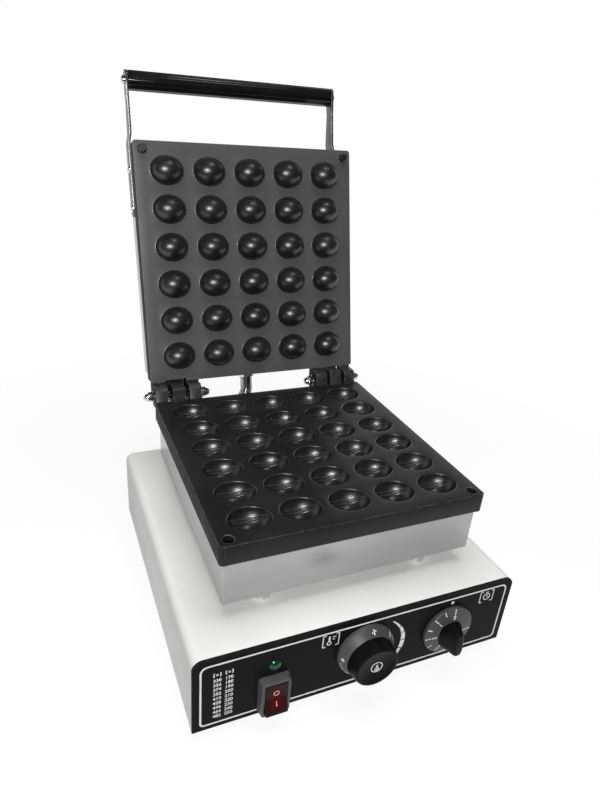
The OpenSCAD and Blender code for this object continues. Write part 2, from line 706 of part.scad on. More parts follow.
// Hinge hardware on one side, in the half frame at x > 0: a bolt through the fork and tongue
bolt_past_hex = 2;
bolt_in_nut = acorn_hex_h + bolt_past_hex;
bolt_half = fork_w / 2 + hinge_washer_t;
module hinge_bolt() { translate([hinge_x, 0, 0]) rod_x(-bolt_half - bolt_in_nut, 2 * (bolt_half + bolt_in_nut), hinge_bolt_d); }
module acorn() {
    r = acorn_h - acorn_hex_h;
    difference() {
        union() {
            hex(acorn_af, acorn_hex_h);
            intersection() {
                translate([0, 0, acorn_hex_h - r / 2]) sphere(r + r / 2);
                cylinder(h = acorn_h, d = acorn_af);
            }
        }
        translate([0, 0, -eps]) cylinder(h = bolt_in_nut + end_gap + eps, d = hinge_bolt_d + 2 * seat_clear);
    }
}
module hinge_nuts() {
    for (s = [-1, 1]) translate([hinge_x + s * bolt_half, 0, 0]) rotate([0, s * 90, 0]) acorn();
}
module hinge_washers() {
    for (s = [-1, 1]) translate([hinge_x + s * (bolt_half - hinge_washer_t / 2), 0, 0]) rotate([0, 90, 0])
        translate([0, 0, -hinge_washer_t / 2]) difference() {
            cylinder(h = hinge_washer_t, d = hinge_washer_d);
            translate([0, 0, -eps]) cylinder(h = hinge_washer_t + 2 * eps, d = hinge_bolt_d + 2 * turn_clear);
        }
}
module hinge_bolt_left() { color("gainsboro") lid_half() hinge_bolt(); }
module hinge_nuts_left() { color("gainsboro") lid_half() hinge_nuts(); }
module hinge_washers_left() { color("gainsboro") lid_half() hinge_washers(); }
module hinge_bolt_right() { color("gainsboro") lower_half() hinge_bolt(); }
module hinge_nuts_right() { color("gainsboro") lower_half() hinge_nuts(); }
module hinge_washers_right() { color("gainsboro") lower_half() hinge_washers(); }

// Handle
module arm_outline() {
    wide_y = box_front_y - arm_wide;
    taper_y = wide_y - arm_taper;
    end_r = (arm_near + arm_far) / 2;
    end_y = box_front_y + arm_screw_in + arm_screw_gap;
    end_z = arm_z + arm_near - end_r;
    translate([end_y, end_z]) circle(end_r);
    translate([grip_y, arm_z]) circle(d = grip_d);
    polygon([[end_y, arm_z + arm_near], [wide_y, arm_z + arm_near], [taper_y, arm_z + arm_tip],
        [grip_y, arm_z + grip_d / 2 - joggle], [grip_y, arm_z - grip_d / 2 + joggle],
        [taper_y, arm_z - arm_tip], [wide_y, arm_z - arm_far], [end_y, arm_z - arm_far]]);
}
module arm_strip() {
    a = box_front_y - joggle_start;
    b = a - joggle_l;
    top_y = box_front_y + box_l / 2;
    tip_y = grip_y - grip_d;
    polygon([[arm_x, top_y], [arm_x + arm_t, top_y], [arm_x + arm_t, a], [grip_x + arm_t, b],
        [grip_x + arm_t, tip_y], [grip_x, tip_y], [grip_x, b], [arm_x, a]]);
}
module arm() {
    difference() {
        intersection() {
            along_x(0, box_w) arm_outline();
            translate([0, 0, floor_z]) linear_extrude(box_h + plate_t) arm_strip();
        }
        at_arm_screws() rod_x(0, box_w, screw_hole);
        translate([0, grip_y, arm_z]) rod_x(0, box_w, rod_d + 2 * tube_clear);
    }
}
module handle_arm_left() { color("silver") lid_half() arm(); }
module handle_arm_right() { color("silver") lid_half() mirror([1, 0, 0]) arm(); }
module handle_grip() {
    color("black") lid_half() translate([0, grip_y, arm_z]) difference() {
        rod_x(-grip_x + tube_clear, 2 * (grip_x - tube_clear), grip_d);
        rod_x(-grip_x, 2 * grip_x, rod_d + 2 * tube_clear);
    }
}
rod_over = arm_t + dome_h / 2;
module handle_rod() {
    color("gainsboro") lid_half() translate([0, grip_y, arm_z]) rod_x(-grip_x - rod_over, 2 * (grip_x + rod_over), rod_d);
}
module handle_nuts() {
    color("gainsboro") lid_half() translate([0, grip_y, arm_z]) for (s = [-1, 1])
        translate([s * (grip_x + arm_t), 0, 0]) rotate([0, s * 90, 0]) difference() {
            intersection() {
                cylinder(h = dome_h, d = dome_d);
                translate([0, 0, dome_h - dome_d * dome_share]) sphere(dome_d * dome_share);
            }
            translate([0, 0, -eps]) cylinder(h = dome_h / 2 + end_gap + eps, d = rod_d + 2 * seat_clear);
        }
}
dome_share = 0.75;
module at_both_arms() {
    for (s = [-1, 1]) at_arm_screws() translate([s * (arm_x + arm_t), 0, 0]) rotate([0, s * 90, 0]) children();
}
module arm_screws() { color("gainsboro") lid_half() at_both_arms() screw(arm_t + box_sheet + screw_nut_h + end_gap); }
module arm_screw_nuts() {
    color("gainsboro") lid_half() at_both_arms() translate([0, 0, -arm_t - box_sheet - screw_nut_h])
        hex_nut(screw_nut_af, screw_nut_h, screw_bore);
}

// Locating pins on the lid's face
pin_bevel = 1;
module locating_pins() {
    color("silver") lid_half() for (x = [-pin_x, pin_x]) translate([x, pin_y, face_z]) {
        translate([0, 0, end_gap - pin_hole_h]) cylinder(h = pin_hole_h, d = pin_stem_d);
        cylinder(h = pin_h - pin_bevel, d = pin_d);
        translate([0, 0, pin_h - pin_bevel]) cylinder(h = pin_bevel, d1 = pin_d, d2 = pin_d - 2 * pin_bevel);
    }
}

// Conduit: straight ends, one curve between them
conduit_r = conduit_d / 2;
groove_r = conduit_r - rib_h;
bore_r = groove_r - conduit_wall;
sleeve_l = conduit_d;
low_0 = [conduit_low_x, base_rear + connector_l, base_floor + conduit_z];
low_1 = low_0 + [0, sleeve_l, 0];
top_wall_y = box_back_y + connector_l;
top_0 = concat([conduit_x], lid_at(top_wall_y, arm_z));
top_1 = concat([conduit_x], lid_at(top_wall_y + sleeve_l, arm_z));
top_dir = (top_1 - top_0) / sleeve_l;
pull_1 = low_1 + [0, conduit_low_pull, 0];
pull_2 = top_1 + conduit_top_pull * top_dir;
function bezier(t) = pow(1 - t, 3) * low_1 + 3 * t * pow(1 - t, 2) * pull_1
    + 3 * t * t * (1 - t) * pull_2 + pow(t, 3) * top_1;
function bezier_dir(t) = 3 * pow(1 - t, 2) * (pull_1 - low_1) + 6 * t * (1 - t) * (pull_2 - pull_1)
    + 3 * t * t * (top_1 - pull_2);
// Each station: place, direction, outer radius
stations = concat(
    [[low_0, low_1 - low_0, conduit_r]],
    [for (k = [0 : 2 * rib_count]) [bezier(k / (2 * rib_count)), bezier_dir(k / (2 * rib_count)),
        k % 2 == 0 ? conduit_r : groove_r]],
    [[top_0, -top_dir, conduit_r]]);
sides = 8;
function ring(s, r) = let(up = cross([1, 0, 0], s[1]), side = cross(s[1], up))
    [for (k = [0 : sides - 1]) let(a = 360 * (k + 1 / 2) / sides)
        s[0] + r * cos(a) * side / norm(side) + r * sin(a) * up / norm(up)];
function skin(first, rings, flip) = [for (j = [0 : rings - 2], k = [0 : sides - 1], h = [0, 1])
    let(a = first + j * sides + k, b = first + j * sides + (k + 1) % sides, t = h == 0
        ? [a, b, a + sides] : [b, b + sides, a + sides]) flip ? [t[2], t[1], t[0]] : t];
function cap(out, inn, flip) = [for (k = [0 : sides - 1], h = [0, 1])
    let(n = (k + 1) % sides, t = h == 0 ? [out + k, inn + k, out + n] : [out + n, inn + k, inn + n])
        flip ? [t[2], t[1], t[0]] : t];
conduit_n = len(stations);
bore_stations = [for (k = [0 : conduit_n - 1]) if (k % 2 == 1 || k == 0 || k == conduit_n - 1) stations[k]];
bore_n = len(bore_stations);
module conduit() {
    points = concat([for (s = stations) each ring(s, s[2])], [for (s = bore_stations) each ring(s, bore_r)]);
    inner = conduit_n * sides;
    faces = concat(skin(0, conduit_n, false), skin(inner, bore_n, true), cap(0, inner, false),
        cap((conduit_n - 1) * sides, inner + (bore_n - 1) * sides, true));
    color("dimgray") machine() polyhedron(points, faces);
}
// A hex connector on its wall: flange side at y = 0, stub through the wall toward -Y
stub_l = 9;
connector_bore = 2 * bore_r;
module connector() {
    difference() {
        union() {
            rotate([-90, 0, 0]) hex(connector_af, connector_l - touch_gap);
            rod_y(-stub_l, stub_l + connector_l / 2, stub_d);
        }
        rod_y(-stub_l - eps, stub_l + connector_l + eps, connector_bore);
    }
}
locknut_h = 4;
module locknut(sheet) { rotate([90, 0, 0]) translate([0, 0, sheet]) hex_nut(connector_af, locknut_h, stub_hole); }
module at_low_connector() { machine() translate([conduit_low_x, base_rear, base_floor + conduit_z]) children(); }
module at_top_connector() { lid_half() translate([-conduit_x, box_back_y, arm_z]) children(); }
module conduit_connector_lower() { color("silver") at_low_connector() connector(); }
module conduit_connector_upper() { color("silver") at_top_connector() connector(); }
module conduit_locknut_lower() { color("silver") at_low_connector() locknut(base_sheet); }
module conduit_locknut_upper() { color("silver") at_top_connector() locknut(box_sheet); }

// Switch: housing with a sloped bezel, and the rocker on its pivot across it
rocker_r = rocker_l / 2;
rocker_gap = 0.5;
pocket_w = rocker_w + 2 * rocker_gap;
pocket_l = rocker_l + 2 * rocker_gap;
pivot_in = 3;
pivot_out = bezel_h - pivot_in;
pivot_d = 4;
pivot_l = 2.5;
pocket_deep = 14;
module bezel() {
    intersection() {
        along_x(-bezel_w / 2, bezel_w) polygon([[-bezel_l / 2, 0], [bezel_l / 2, 0],
            [bezel_l / 2 - bezel_slope / 2, bezel_h], [bezel_slope / 2 - bezel_l / 2, bezel_h]]);
        along_y(-bezel_l / 2, bezel_l) polygon([[-bezel_w / 2, 0], [bezel_w / 2, 0],
            [bezel_w / 2 - bezel_slope, bezel_h], [bezel_slope - bezel_w / 2, bezel_h]]);
    }
}
module rocker_housing() {
    color("black") on_panel(switch_x, switch_z) difference() {
        union() {
            bezel();
            translate([-switch_body_w / 2, -switch_body_l / 2, -panel_t - switch_deep])
                cube([switch_body_w, switch_body_l, panel_t + switch_deep]);
        }
        translate([-pocket_w / 2, -pocket_l / 2, pivot_out - pocket_deep]) cube([pocket_w, pocket_l, 2 * pocket_deep]);
        translate([0, 0, pivot_out]) rod_x(-pivot_reach - turn_clear, 2 * (pivot_reach + turn_clear),
            pivot_d + 2 * turn_clear);
    }
}
pivot_reach = rocker_w / 2 + pivot_l;
rocker_face = 2.5;
rocker_deep = 7;
module rocker() {
    color("red") on_panel(switch_x, switch_z) translate([0, 0, pivot_out]) rotate([-rocker_tilt, 0, 0]) {
        along_x(-rocker_w / 2, rocker_w) intersection() {
            circle(rocker_r);
            polygon([[-rocker_l / 2, -rocker_deep], [rocker_l / 2, -rocker_deep],
                [rocker_l / 2, rocker_face + rocker_l / 2 * tan(rocker_tilt)], [0, rocker_face],
                [-rocker_l / 2, rocker_face + rocker_l / 2 * tan(rocker_tilt)]]);
        }
        rod_x(-pivot_reach, 2 * pivot_reach, pivot_d);
    }
}
lens_flange = 1;
module indicator_lens() {
    color("darkgreen") on_panel(switch_x, lamp_z) {
        cylinder(h = lens_flange, d = lens_d);
        intersection() {
            cylinder(h = lens_h, d = lens_d);
            translate([0, 0, lens_h - lens_ball]) sphere(lens_ball);
        }
        translate([0, 0, -panel_t]) cylinder(h = panel_t, d = lens_stem_d);
    }
}
lens_ball = (lens_d * lens_d / 4 + (lens_h - lens_flange) * (lens_h - lens_flange)) / (2 * (lens_h - lens_flange));
lamp_body_over = 2;
lamp_body_d = lens_d + lamp_body_over;
module indicator_body() {
    color("white") on_panel(switch_x, lamp_z) translate([0, 0, -panel_t - lamp_deep]) cylinder(h = lamp_deep, d = lamp_body_d);
}

// Knob controls. A shaft starts inside its body and ends inside its knob
shaft_in = 8;
shaft_out = 14;
knob_lift = 0.5;
bushing_out = 3;
module control_body(deep) {
    difference() {
        union() {
            translate([0, 0, -panel_t - deep]) linear_extrude(deep) children();
            translate([0, 0, -panel_t - eps]) cylinder(h = panel_t + bushing_out + eps, d = bushing_d);
        }
        translate([0, 0, -panel_t - shaft_in]) cylinder(h = shaft_in + panel_t + bushing_out + eps, d = shaft_d + 2 * turn_clear);
    }
}
module control_shaft() {
    translate([0, 0, -panel_t - shaft_in + end_gap]) cylinder(h = panel_t + shaft_in - end_gap + shaft_out, d = shaft_d);
}
module knob_bore() {
    translate([0, 0, -eps]) cylinder(h = shaft_out + end_gap + eps, d = shaft_d + 2 * seat_clear);
    translate([0, 0, -eps]) cylinder(h = bushing_out + 2 * knob_lift, d = bushing_d + 4 * knob_lift);
}
module thermostat_body() {
    color("silver") on_panel(thermo_x, thermo_z) control_body(thermo_deep)
        square([thermo_body_w, thermo_body_w], center = true);
}
module thermostat_shaft() { color("silver") on_panel(thermo_x, thermo_z) control_shaft(); }
thermo_rim_h = 11.5;
module thermostat_knob() {
    color("black") on_panel(thermo_x, thermo_z) difference() {
        union() {
            translate([0, 0, knob_lift]) cylinder(h = skirt_t - knob_lift, d = thermo_skirt_d);
            translate([0, 0, skirt_t]) cylinder(h = thermo_rim_h - skirt_t, d1 = thermo_skirt_d, d2 = thermo_d);
            translate([0, 0, thermo_rim_h]) cylinder(h = thermo_h - thermo_rim_h, d1 = thermo_d, d2 = thermo_face_d);
        }
        knob_bore();
    }
}
module timer_body() {
    color("silver") on_panel(timer_x, timer_z) control_body(timer_deep) circle(d = timer_body_d);
}
module timer_shaft() { color("silver") on_panel(timer_x, timer_z) control_shaft(); }
timer_end = 2;
module timer_knob() {
    color("black") on_panel(timer_x, timer_z) difference() {
        union() {
            translate([0, 0, knob_lift]) cylinder(h = skirt_t - knob_lift, d = timer_skirt_d);
            intersection() {
                along_x(-timer_foot_w / 2, timer_foot_w) polygon([[-timer_bar_down, knob_lift], [timer_bar_up + timer_end, knob_lift],
                    [timer_bar_up, timer_h], [timer_end - timer_bar_down, timer_h]]);
                along_y(-timer_skirt_d, 2 * timer_skirt_d) polygon([[-timer_foot_w / 2, knob_lift], [timer_foot_w / 2, knob_lift],
                    [timer_bar_w / 2, timer_h], [-timer_bar_w / 2, timer_h]]);
            }
        }
        knob_bore();
    }
}

// Thermostat bulb under the lower plate, and its capillary through the wire tube
bulb_z = -plate_t - touch_gap - bulb_d / 2;
bulb_lead = 20;
bulb_y = wire_y - bulb_lead;
thermo_abs_z = panel_mid_z + thermo_z;
capillary_y = base_front + thermo_deep + touch_gap;
capillary_bend = 6;
module capillary_turn(y, z, start) {
    translate([0, y, z]) rotate([90, 0, 90]) rotate([0, 0, start]) rotate_extrude(angle = 90)
        translate([capillary_bend, 0]) circle(d = capillary_d);
}
module thermostat_capillary() {
    turn_y = wire_y - capillary_bend;
    color("peru") machine() translate([thermo_x, 0, 0]) {
        translate([0, 0, thermo_abs_z]) rod_y(capillary_y, turn_y - capillary_y, capillary_d);
        capillary_turn(turn_y, thermo_abs_z + capillary_bend, -90);
        translate([0, wire_y, thermo_abs_z + capillary_bend])
            cylinder(h = bulb_z - thermo_abs_z - 2 * capillary_bend, d = capillary_d);
        capillary_turn(turn_y, bulb_z - capillary_bend, 0);
        translate([0, 0, bulb_z]) rod_y(bulb_y, turn_y - bulb_y, capillary_d);
    }
}
module thermostat_bulb() {
    color("peru") machine() translate([thermo_x, 0, bulb_z]) rod_y(bulb_y - bulb_l, bulb_l, bulb_d);
}

// Terminal block and the gland for the mains lead
block_w = 60;
block_l = 22;
block_h = 16;
block_rear_gap = 24;
block_y = base_rear - block_rear_gap - block_l;
module terminal_block() {
    color("ivory") machine() translate([gland_x - block_w, block_y, base_floor + bottom_t]) difference() {
        cube([block_w, block_l, block_h]);
        for (k = [1 : 4]) translate([k * block_w / 5, block_l / 2, block_h / 2]) cylinder(h = block_h, d = screw_d);
    }
}
gland_flange_d = 22;
gland_flange_h = 8;
gland_bore = 8;
gland_in = 10;
module cable_gland() {
    color("black") machine() translate([gland_x, base_rear, base_floor + gland_z]) difference() {
        union() {
            rod_y(0, gland_flange_h, gland_flange_d);
            rod_y(-gland_in, gland_in, gland_d);
        }
        rod_y(-gland_in - eps, gland_in + gland_flange_h + 2 * eps, gland_bore);
    }
}

base_housing();
base_bottom_plate();
bottom_screws();
front_panel();
panel_nuts();
rubber_feet();
foot_screws();
standoff_pillars();
pillar_bolts();
pillar_nuts();
wire_tube();
lower_heater_box();
lower_plate();
lower_plate_screws();
lower_heating_element();
lower_element_clamps();
lower_clamp_screws();
lower_insulation();
upper_plate();
upper_heater_cover();
upper_plate_screws();
upper_heating_element();
upper_element_clamps();
upper_clamp_screws();
upper_insulation();
hinge_bolt_left();
hinge_bolt_right();
hinge_nuts_left();
hinge_nuts_right();
hinge_washers_left();
hinge_washers_right();
handle_arm_left();
handle_arm_right();
handle_grip();
handle_rod();
handle_nuts();
arm_screws();
arm_screw_nuts();
locating_pins();
conduit();
conduit_connector_upper();
conduit_connector_lower();
conduit_locknut_upper();
conduit_locknut_lower();
rocker_housing();
rocker();
indicator_lens();
indicator_body();
thermostat_body();
thermostat_shaft();
thermostat_knob();
thermostat_bulb();
thermostat_capillary();
timer_body();
timer_shaft();
timer_knob();
terminal_block();
cable_gland();
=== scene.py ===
"""Walnut waffle maker with its lid open: cast plates, polished heater boxes, pale base and control panel."""
import json
import math

import bmesh
import bpy
from mathutils import Matrix, Vector


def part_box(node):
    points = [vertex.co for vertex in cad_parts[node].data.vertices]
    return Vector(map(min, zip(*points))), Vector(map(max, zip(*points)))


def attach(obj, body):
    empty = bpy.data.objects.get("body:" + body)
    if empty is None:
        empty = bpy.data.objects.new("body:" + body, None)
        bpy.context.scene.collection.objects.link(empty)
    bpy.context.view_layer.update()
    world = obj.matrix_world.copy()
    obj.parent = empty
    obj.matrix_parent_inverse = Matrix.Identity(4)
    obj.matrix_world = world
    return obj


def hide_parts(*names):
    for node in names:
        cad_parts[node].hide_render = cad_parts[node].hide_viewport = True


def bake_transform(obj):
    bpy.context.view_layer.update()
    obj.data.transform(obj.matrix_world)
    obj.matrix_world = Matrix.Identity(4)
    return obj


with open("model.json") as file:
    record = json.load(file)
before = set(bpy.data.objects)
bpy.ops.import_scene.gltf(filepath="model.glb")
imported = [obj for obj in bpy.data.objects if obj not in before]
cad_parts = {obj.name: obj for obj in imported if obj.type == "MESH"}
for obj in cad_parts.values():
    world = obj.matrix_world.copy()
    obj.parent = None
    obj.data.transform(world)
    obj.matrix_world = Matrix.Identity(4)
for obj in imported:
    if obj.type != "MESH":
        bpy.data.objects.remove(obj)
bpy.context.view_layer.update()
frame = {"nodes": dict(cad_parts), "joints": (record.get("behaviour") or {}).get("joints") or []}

MM = 0.001

# Camera of the photograph, in the frame of the part
CAMERA_PLACE = Vector((-229.5, -520.15, 467.69)) * MM
CAMERA_AZIMUTH, CAMERA_ELEVATION, CAMERA_ROLL = (math.radians(a) for a in (-24.93, 25.82, 4.8))
CAMERA_LENS, CAMERA_SENSOR = 27.586, 36

# Castings, in millimetres
CAVITY_COLUMNS, CAVITY_ROWS = 5, 6
CAVITY_PITCH_X, CAVITY_PITCH_Y = 45, 38.7
CAVITY_HALF_L, CAVITY_HALF_W, CAVITY_DEEP, CAVITY_LIP = 18.3, 15.5, 15.8, 1.1
DOME_HALF_L, DOME_HALF_W, DOME_HIGH, DOME_FILLET = 16.9, 14.1, 14.4, 1
PLATE_W, PLATE_L, PLATE_T, PLATE_CORNER, PLATE_EDGE = 246, 250.4, 18.5, 4.5, 1.1
HALF_GAP, HINGE_REACH, OPEN_ANGLE = 0.25, 14.6, math.radians(104.7)
FORK_X, FORK_W, LUG_T, TONGUE_T, NOTCH = 95.5, 51, 13.8, 14, 3
BARREL_HALF, LUG_R, TONGUE_R, FORK_FLOOR = 12, 14.35, 16.4, 16.8
WEB_H, HEEL_A, HEEL_LOW, HEEL_HIGH = 17, 14.35, 2, 10
PIN_X, PIN_IN_Y, PIN_R, PIN_H = 114, 8.6, 4.3, 5
# Heater boxes
BOX_W, BOX_L, BOX_H, BOX_SHEET, BOX_FOLD = 238, 242, 43.5, 1.2, 1
# Handle
ARM_T, ARM_NEAR, ARM_FAR, ARM_TIP, ARM_WIDE, ARM_TAPER = 2.5, 5.6, 12.4, 6.8, 12, 39
ARM_SCREW_IN, ARM_SCREW_GAP, JOGGLE, JOGGLE_START, JOGGLE_L = 18.8, 40, 2, 7, 12
GRIP_REACH, GRIP_R, DOME_R, DOME_H = 69.7, 10, 4.5, 4.2
GRIP_FLUTES, FLUTE_DEEP = 14, 0.3
# Base
BASE_W, BASE_L, BASE_H, BASE_BEND, BASE_SHEET, BASE_FOLD = 304, 313.2, 77.2, 9, 1.5, 2

# Frames that pieces are modelled in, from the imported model
joints = {j["name"]: j for j in frame["joints"]}
hinge_axis = Vector(joints["lid_hinge"]["pos_m"])
SCALE = Matrix.Scale(MM, 4)
LOWER = Matrix.Translation(hinge_axis) @ SCALE
LID = Matrix.Translation(hinge_axis) @ Matrix.Rotation(-OPEN_ANGLE, 4, "X") @ Matrix.Rotation(math.pi, 4, "Y") @ SCALE
panel_low, panel_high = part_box("front_panel")
PANEL = Matrix.Translation((0, panel_low[1], (panel_low[2] + panel_high[2]) / 2)) @ Matrix.Rotation(math.pi / 2, 4,
                                                                                                    "X") @ SCALE
HALF_MID_Y = -(PLATE_L / 2 + HINGE_REACH)
FACE_Z = -HALF_GAP
UNDER_Z = FACE_Z - PLATE_T
FLOOR_Z = UNDER_Z - BOX_H
ARM_Z = UNDER_Z - BOX_H / 2
BOX_FRONT_Y = HALF_MID_Y - BOX_L / 2
GRIP_Y = BOX_FRONT_Y - GRIP_REACH


def on_panel(x, z, out=0):
    return PANEL @ Matrix.Translation((x, z, out))


def linked(name, data):
    """A new object in the scene."""
    obj = bpy.data.objects.new(name, data)
    bpy.context.scene.collection.objects.link(obj)
    return obj


# Camera
def make_camera():
    az, el, roll = CAMERA_AZIMUTH, CAMERA_ELEVATION, CAMERA_ROLL
    back = Vector((math.sin(az) * math.cos(el), -math.cos(az) * math.cos(el), math.sin(el)))
    right = Vector((0, 0, 1)).cross(back).normalized()
    up = back.cross(right)
    c, s = math.cos(roll), math.sin(roll)
    axes = Matrix((c * right + s * up, c * up - s * right, back)).transposed()
    data = bpy.data.cameras.new("camera")
    data.lens, data.sensor_width, data.clip_start, data.clip_end = CAMERA_LENS, CAMERA_SENSOR, 0.01, 20
    camera = linked("camera", data)
    camera.matrix_world = Matrix.Translation(CAMERA_PLACE) @ axes.to_4x4()
    bpy.context.scene.camera = camera


make_camera()


# Shader node groups
def new_group(name, **inputs):
    """A group of one result, its inputs named with their defaults."""
    group = bpy.data.node_groups.new(name, "ShaderNodeTree")
    for label, value in inputs.items():
        socket = group.interface.new_socket(label.replace("_", " "), in_out="INPUT", socket_type="NodeSocketFloat")
        socket.default_value = value
    group.interface.new_socket("Value", in_out="OUTPUT", socket_type="NodeSocketFloat")
    return group, group.nodes.new("NodeGroupInput"), group.nodes.new("NodeGroupOutput").inputs["Value"]


def object_place(tree):
    return tree.nodes.new("ShaderNodeTexCoord").outputs["Object"]


def noise_in(group, given, vector):
    """A noise whose scale the group is given."""
    noise = group.nodes.new("ShaderNodeTexNoise")
    group.links.new(vector, noise.inputs["Vector"])
    group.links.new(given.outputs["Scale"], noise.inputs["Scale"])
    return noise


def mapped_range(tree, value, low, high, smooth=False):
    node = tree.nodes.new("ShaderNodeMapRange")
    node.interpolation_type = "SMOOTHSTEP" if smooth else "LINEAR"
    node.inputs["From Min"].default_value, node.inputs["From Max"].default_value = low, high
    tree.links.new(value, node.inputs["Value"])
    return node.outputs["Result"]


def make_mottle():
    """Soft clouds of handling and casting, from 0 to 1."""
    group, given, result = new_group("mottle", Scale=20, Detail=4)
    noise = noise_in(group, given, object_place(group))
    group.links.new(given.outputs["Detail"], noise.inputs["Detail"])
    group.links.new(mapped_range(group, noise.outputs["Fac"], 0.32, 0.68, True), result)
    return group


def make_brushed():
    """Fine lines drawn along one axis by a belt, from 0 to 1."""
    group, given, result = new_group("brushed", Across_X=1, Across_Y=1, Across_Z=1, Scale=400)
    stretch, product = group.nodes.new("ShaderNodeCombineXYZ"), group.nodes.new("ShaderNodeVectorMath")
    product.operation = "MULTIPLY"
    for axis in "XYZ":
        group.links.new(given.outputs["Across " + axis], stretch.inputs[axis])
    group.links.new(object_place(group), product.inputs[0])
    group.links.new(stretch.outputs["Vector"], product.inputs[1])
    noise = noise_in(group, given, product.outputs["Vector"])
    noise.inputs["Detail"].default_value = 3
    group.links.new(noise.outputs["Fac"], result)
    return group


def make_stipple():
    """The fine stipple of moulded plastic, sprayed coating or cast metal, from 0 to 1."""
    group, given, result = new_group("stipple", Scale=900, Roughness=0.5)
    noise = noise_in(group, given, object_place(group))
    noise.inputs["Detail"].default_value = 2
    group.links.new(given.outputs["Roughness"], noise.inputs["Roughness"])
    group.links.new(noise.outputs["Fac"], result)
    return group


def make_edges():
    """1 along the rounded outer edges, 0 on the faces."""
    group, given, result = new_group("edges", Radius=0.001, Scale=300)
    soft, sharp = group.nodes.new("ShaderNodeBevel"), group.nodes.new("ShaderNodeNewGeometry")
    soft.samples = 4
    both, patchy = group.nodes.new("ShaderNodeVectorMath"), group.nodes.new("ShaderNodeMath")
    both.operation, patchy.operation = "DOT_PRODUCT", "MULTIPLY"
    noise = noise_in(group, given, object_place(group))
    group.links.new(given.outputs["Radius"], soft.inputs["Radius"])
    group.links.new(soft.outputs["Normal"], both.inputs[0])
    group.links.new(sharp.outputs["Normal"], both.inputs[1])
    group.links.new(mapped_range(group, both.outputs["Value"], 0.995, 0.93), patchy.inputs[0])
    group.links.new(mapped_range(group, noise.outputs["Fac"], 0.3, 0.6, True), patchy.inputs[1])
    group.links.new(patchy.outputs["Value"], result)
    return group


MOTTLE, BRUSHED, STIPPLE, EDGES = make_mottle(), make_brushed(), make_stipple(), make_edges()


def place_group(tree, group, **values):
    node = tree.nodes.new("ShaderNodeGroup")
    node.node_tree = group
    for label, value in values.items():
        node.inputs[label.replace("_", " ")].default_value = value
    return node.outputs["Value"]


def finish_of(name, colour, shade, rough, clouds, grain, bump, metallic=0, brushed=None, specular=0.5, edge_rub_and_glint=1.3):
    """A procedural finish: colour varies to shade in clouds, roughness between rough's two values, the surface is
    stippled, or brushed along one axis, by bump metres, and its edges go to edge_rub_and_glint times the colour: above
    1 that is partly rubbed edges and partly a painted highlight along the edges, below 1 darker edges."""
    material = bpy.data.materials.new(name)
    material.use_nodes = True
    tree = material.node_tree
    shader = tree.nodes["Principled BSDF"]
    shader.inputs["Metallic"].default_value = metallic
    shader.inputs["Specular IOR Level"].default_value = specular
    cloud = place_group(tree, MOTTLE, Scale=clouds)
    mix = tree.nodes.new("ShaderNodeMix")
    mix.data_type = "RGBA"
    mix.inputs["A"].default_value, mix.inputs["B"].default_value = (*colour, 1), (*shade, 1)
    tree.links.new(cloud, mix.inputs["Factor"])
    # Edges mixed toward edge_rub_and_glint times the colour: rubbed edges, and where the factor is above 1 also a
    # painted highlight along the edges.
    edge_rub_and_glint_mix = tree.nodes.new("ShaderNodeMix")
    edge_rub_and_glint_mix.data_type = "RGBA"
    edge_rub_and_glint_mix.inputs["B"].default_value = (*[min(c * edge_rub_and_glint, 0.9) for c in colour], 1)
    tree.links.new(place_group(tree, EDGES), edge_rub_and_glint_mix.inputs["Factor"])
    tree.links.new(mix.outputs["Result"], edge_rub_and_glint_mix.inputs["A"])
    tree.links.new(edge_rub_and_glint_mix.outputs["Result"], shader.inputs["Base Color"])
    if brushed:
        fine = place_group(tree, BRUSHED, Scale=grain, Across_X=brushed[0], Across_Y=brushed[1], Across_Z=brushed[2])
    else:
        fine = place_group(tree, STIPPLE, Scale=grain)
    roughness = tree.nodes.new("ShaderNodeMapRange")
    roughness.inputs["To Min"].default_value, roughness.inputs["To Max"].default_value = rough
    blend = tree.nodes.new("ShaderNodeMath")
    blend.operation = "MULTIPLY_ADD"
    blend.inputs[1].default_value, blend.inputs[2].default_value = 0.5, 0
    total = tree.nodes.new("ShaderNodeMath")
    total.operation = "MULTIPLY_ADD"
    total.inputs[1].default_value = 0.5
    tree.links.new(fine, blend.inputs[0])
    tree.links.new(cloud, total.inputs[0])
    tree.links.new(blend.outputs["Value"], total.inputs[2])
    tree.links.new(total.outputs["Value"], roughness.inputs["Value"])
    tree.links.new(roughness.outputs["Result"], shader.inputs["Roughness"])
    relief = tree.nodes.new("ShaderNodeBump")
    relief.inputs["Distance"].default_value = bump
    tree.links.new(fine, relief.inputs["Height"])
    tree.links.new(relief.outputs["Normal"], shader.inputs["Normal"])
    return material


ACROSS_X, ACROSS_Y, ACROSS_Z = (0.02, 1, 1), (1, 0.02, 1), (1, 1, 0.02)
# An edge_rub_and_glint above 1 lightens the edges as rubbing and as a painted highlight.
pale_enamel = finish_of("pale_enamel", (0.8, 0.8, 0.79), (0.75, 0.75, 0.74), (0.28, 0.42), 9, 700, 2e-5, edge_rub_and_glint=0.85)
panel_black = finish_of("panel_black", (0.0058, 0.006, 0.0064), (0.008, 0.0082, 0.0088), (0.34, 0.48), 12, 1500, 1e-5,
                        specular=0.04, edge_rub_and_glint=5)
print_white = finish_of("print_white", (0.82, 0.82, 0.82), (0.72, 0.72, 0.72), (0.5, 0.6), 60, 1500, 5e-6, edge_rub_and_glint=0.9)
# The castings share one coating; this darker copy for the lower plate's face is painted shade.
lower_cast_shaded_copy = finish_of("lower_cast_shaded_copy", (0.01, 0.01, 0.0105), (0.015, 0.015, 0.0155), (0.32, 0.46), 16, 1100, 3e-5,
                          specular=0.22, edge_rub_and_glint=12)
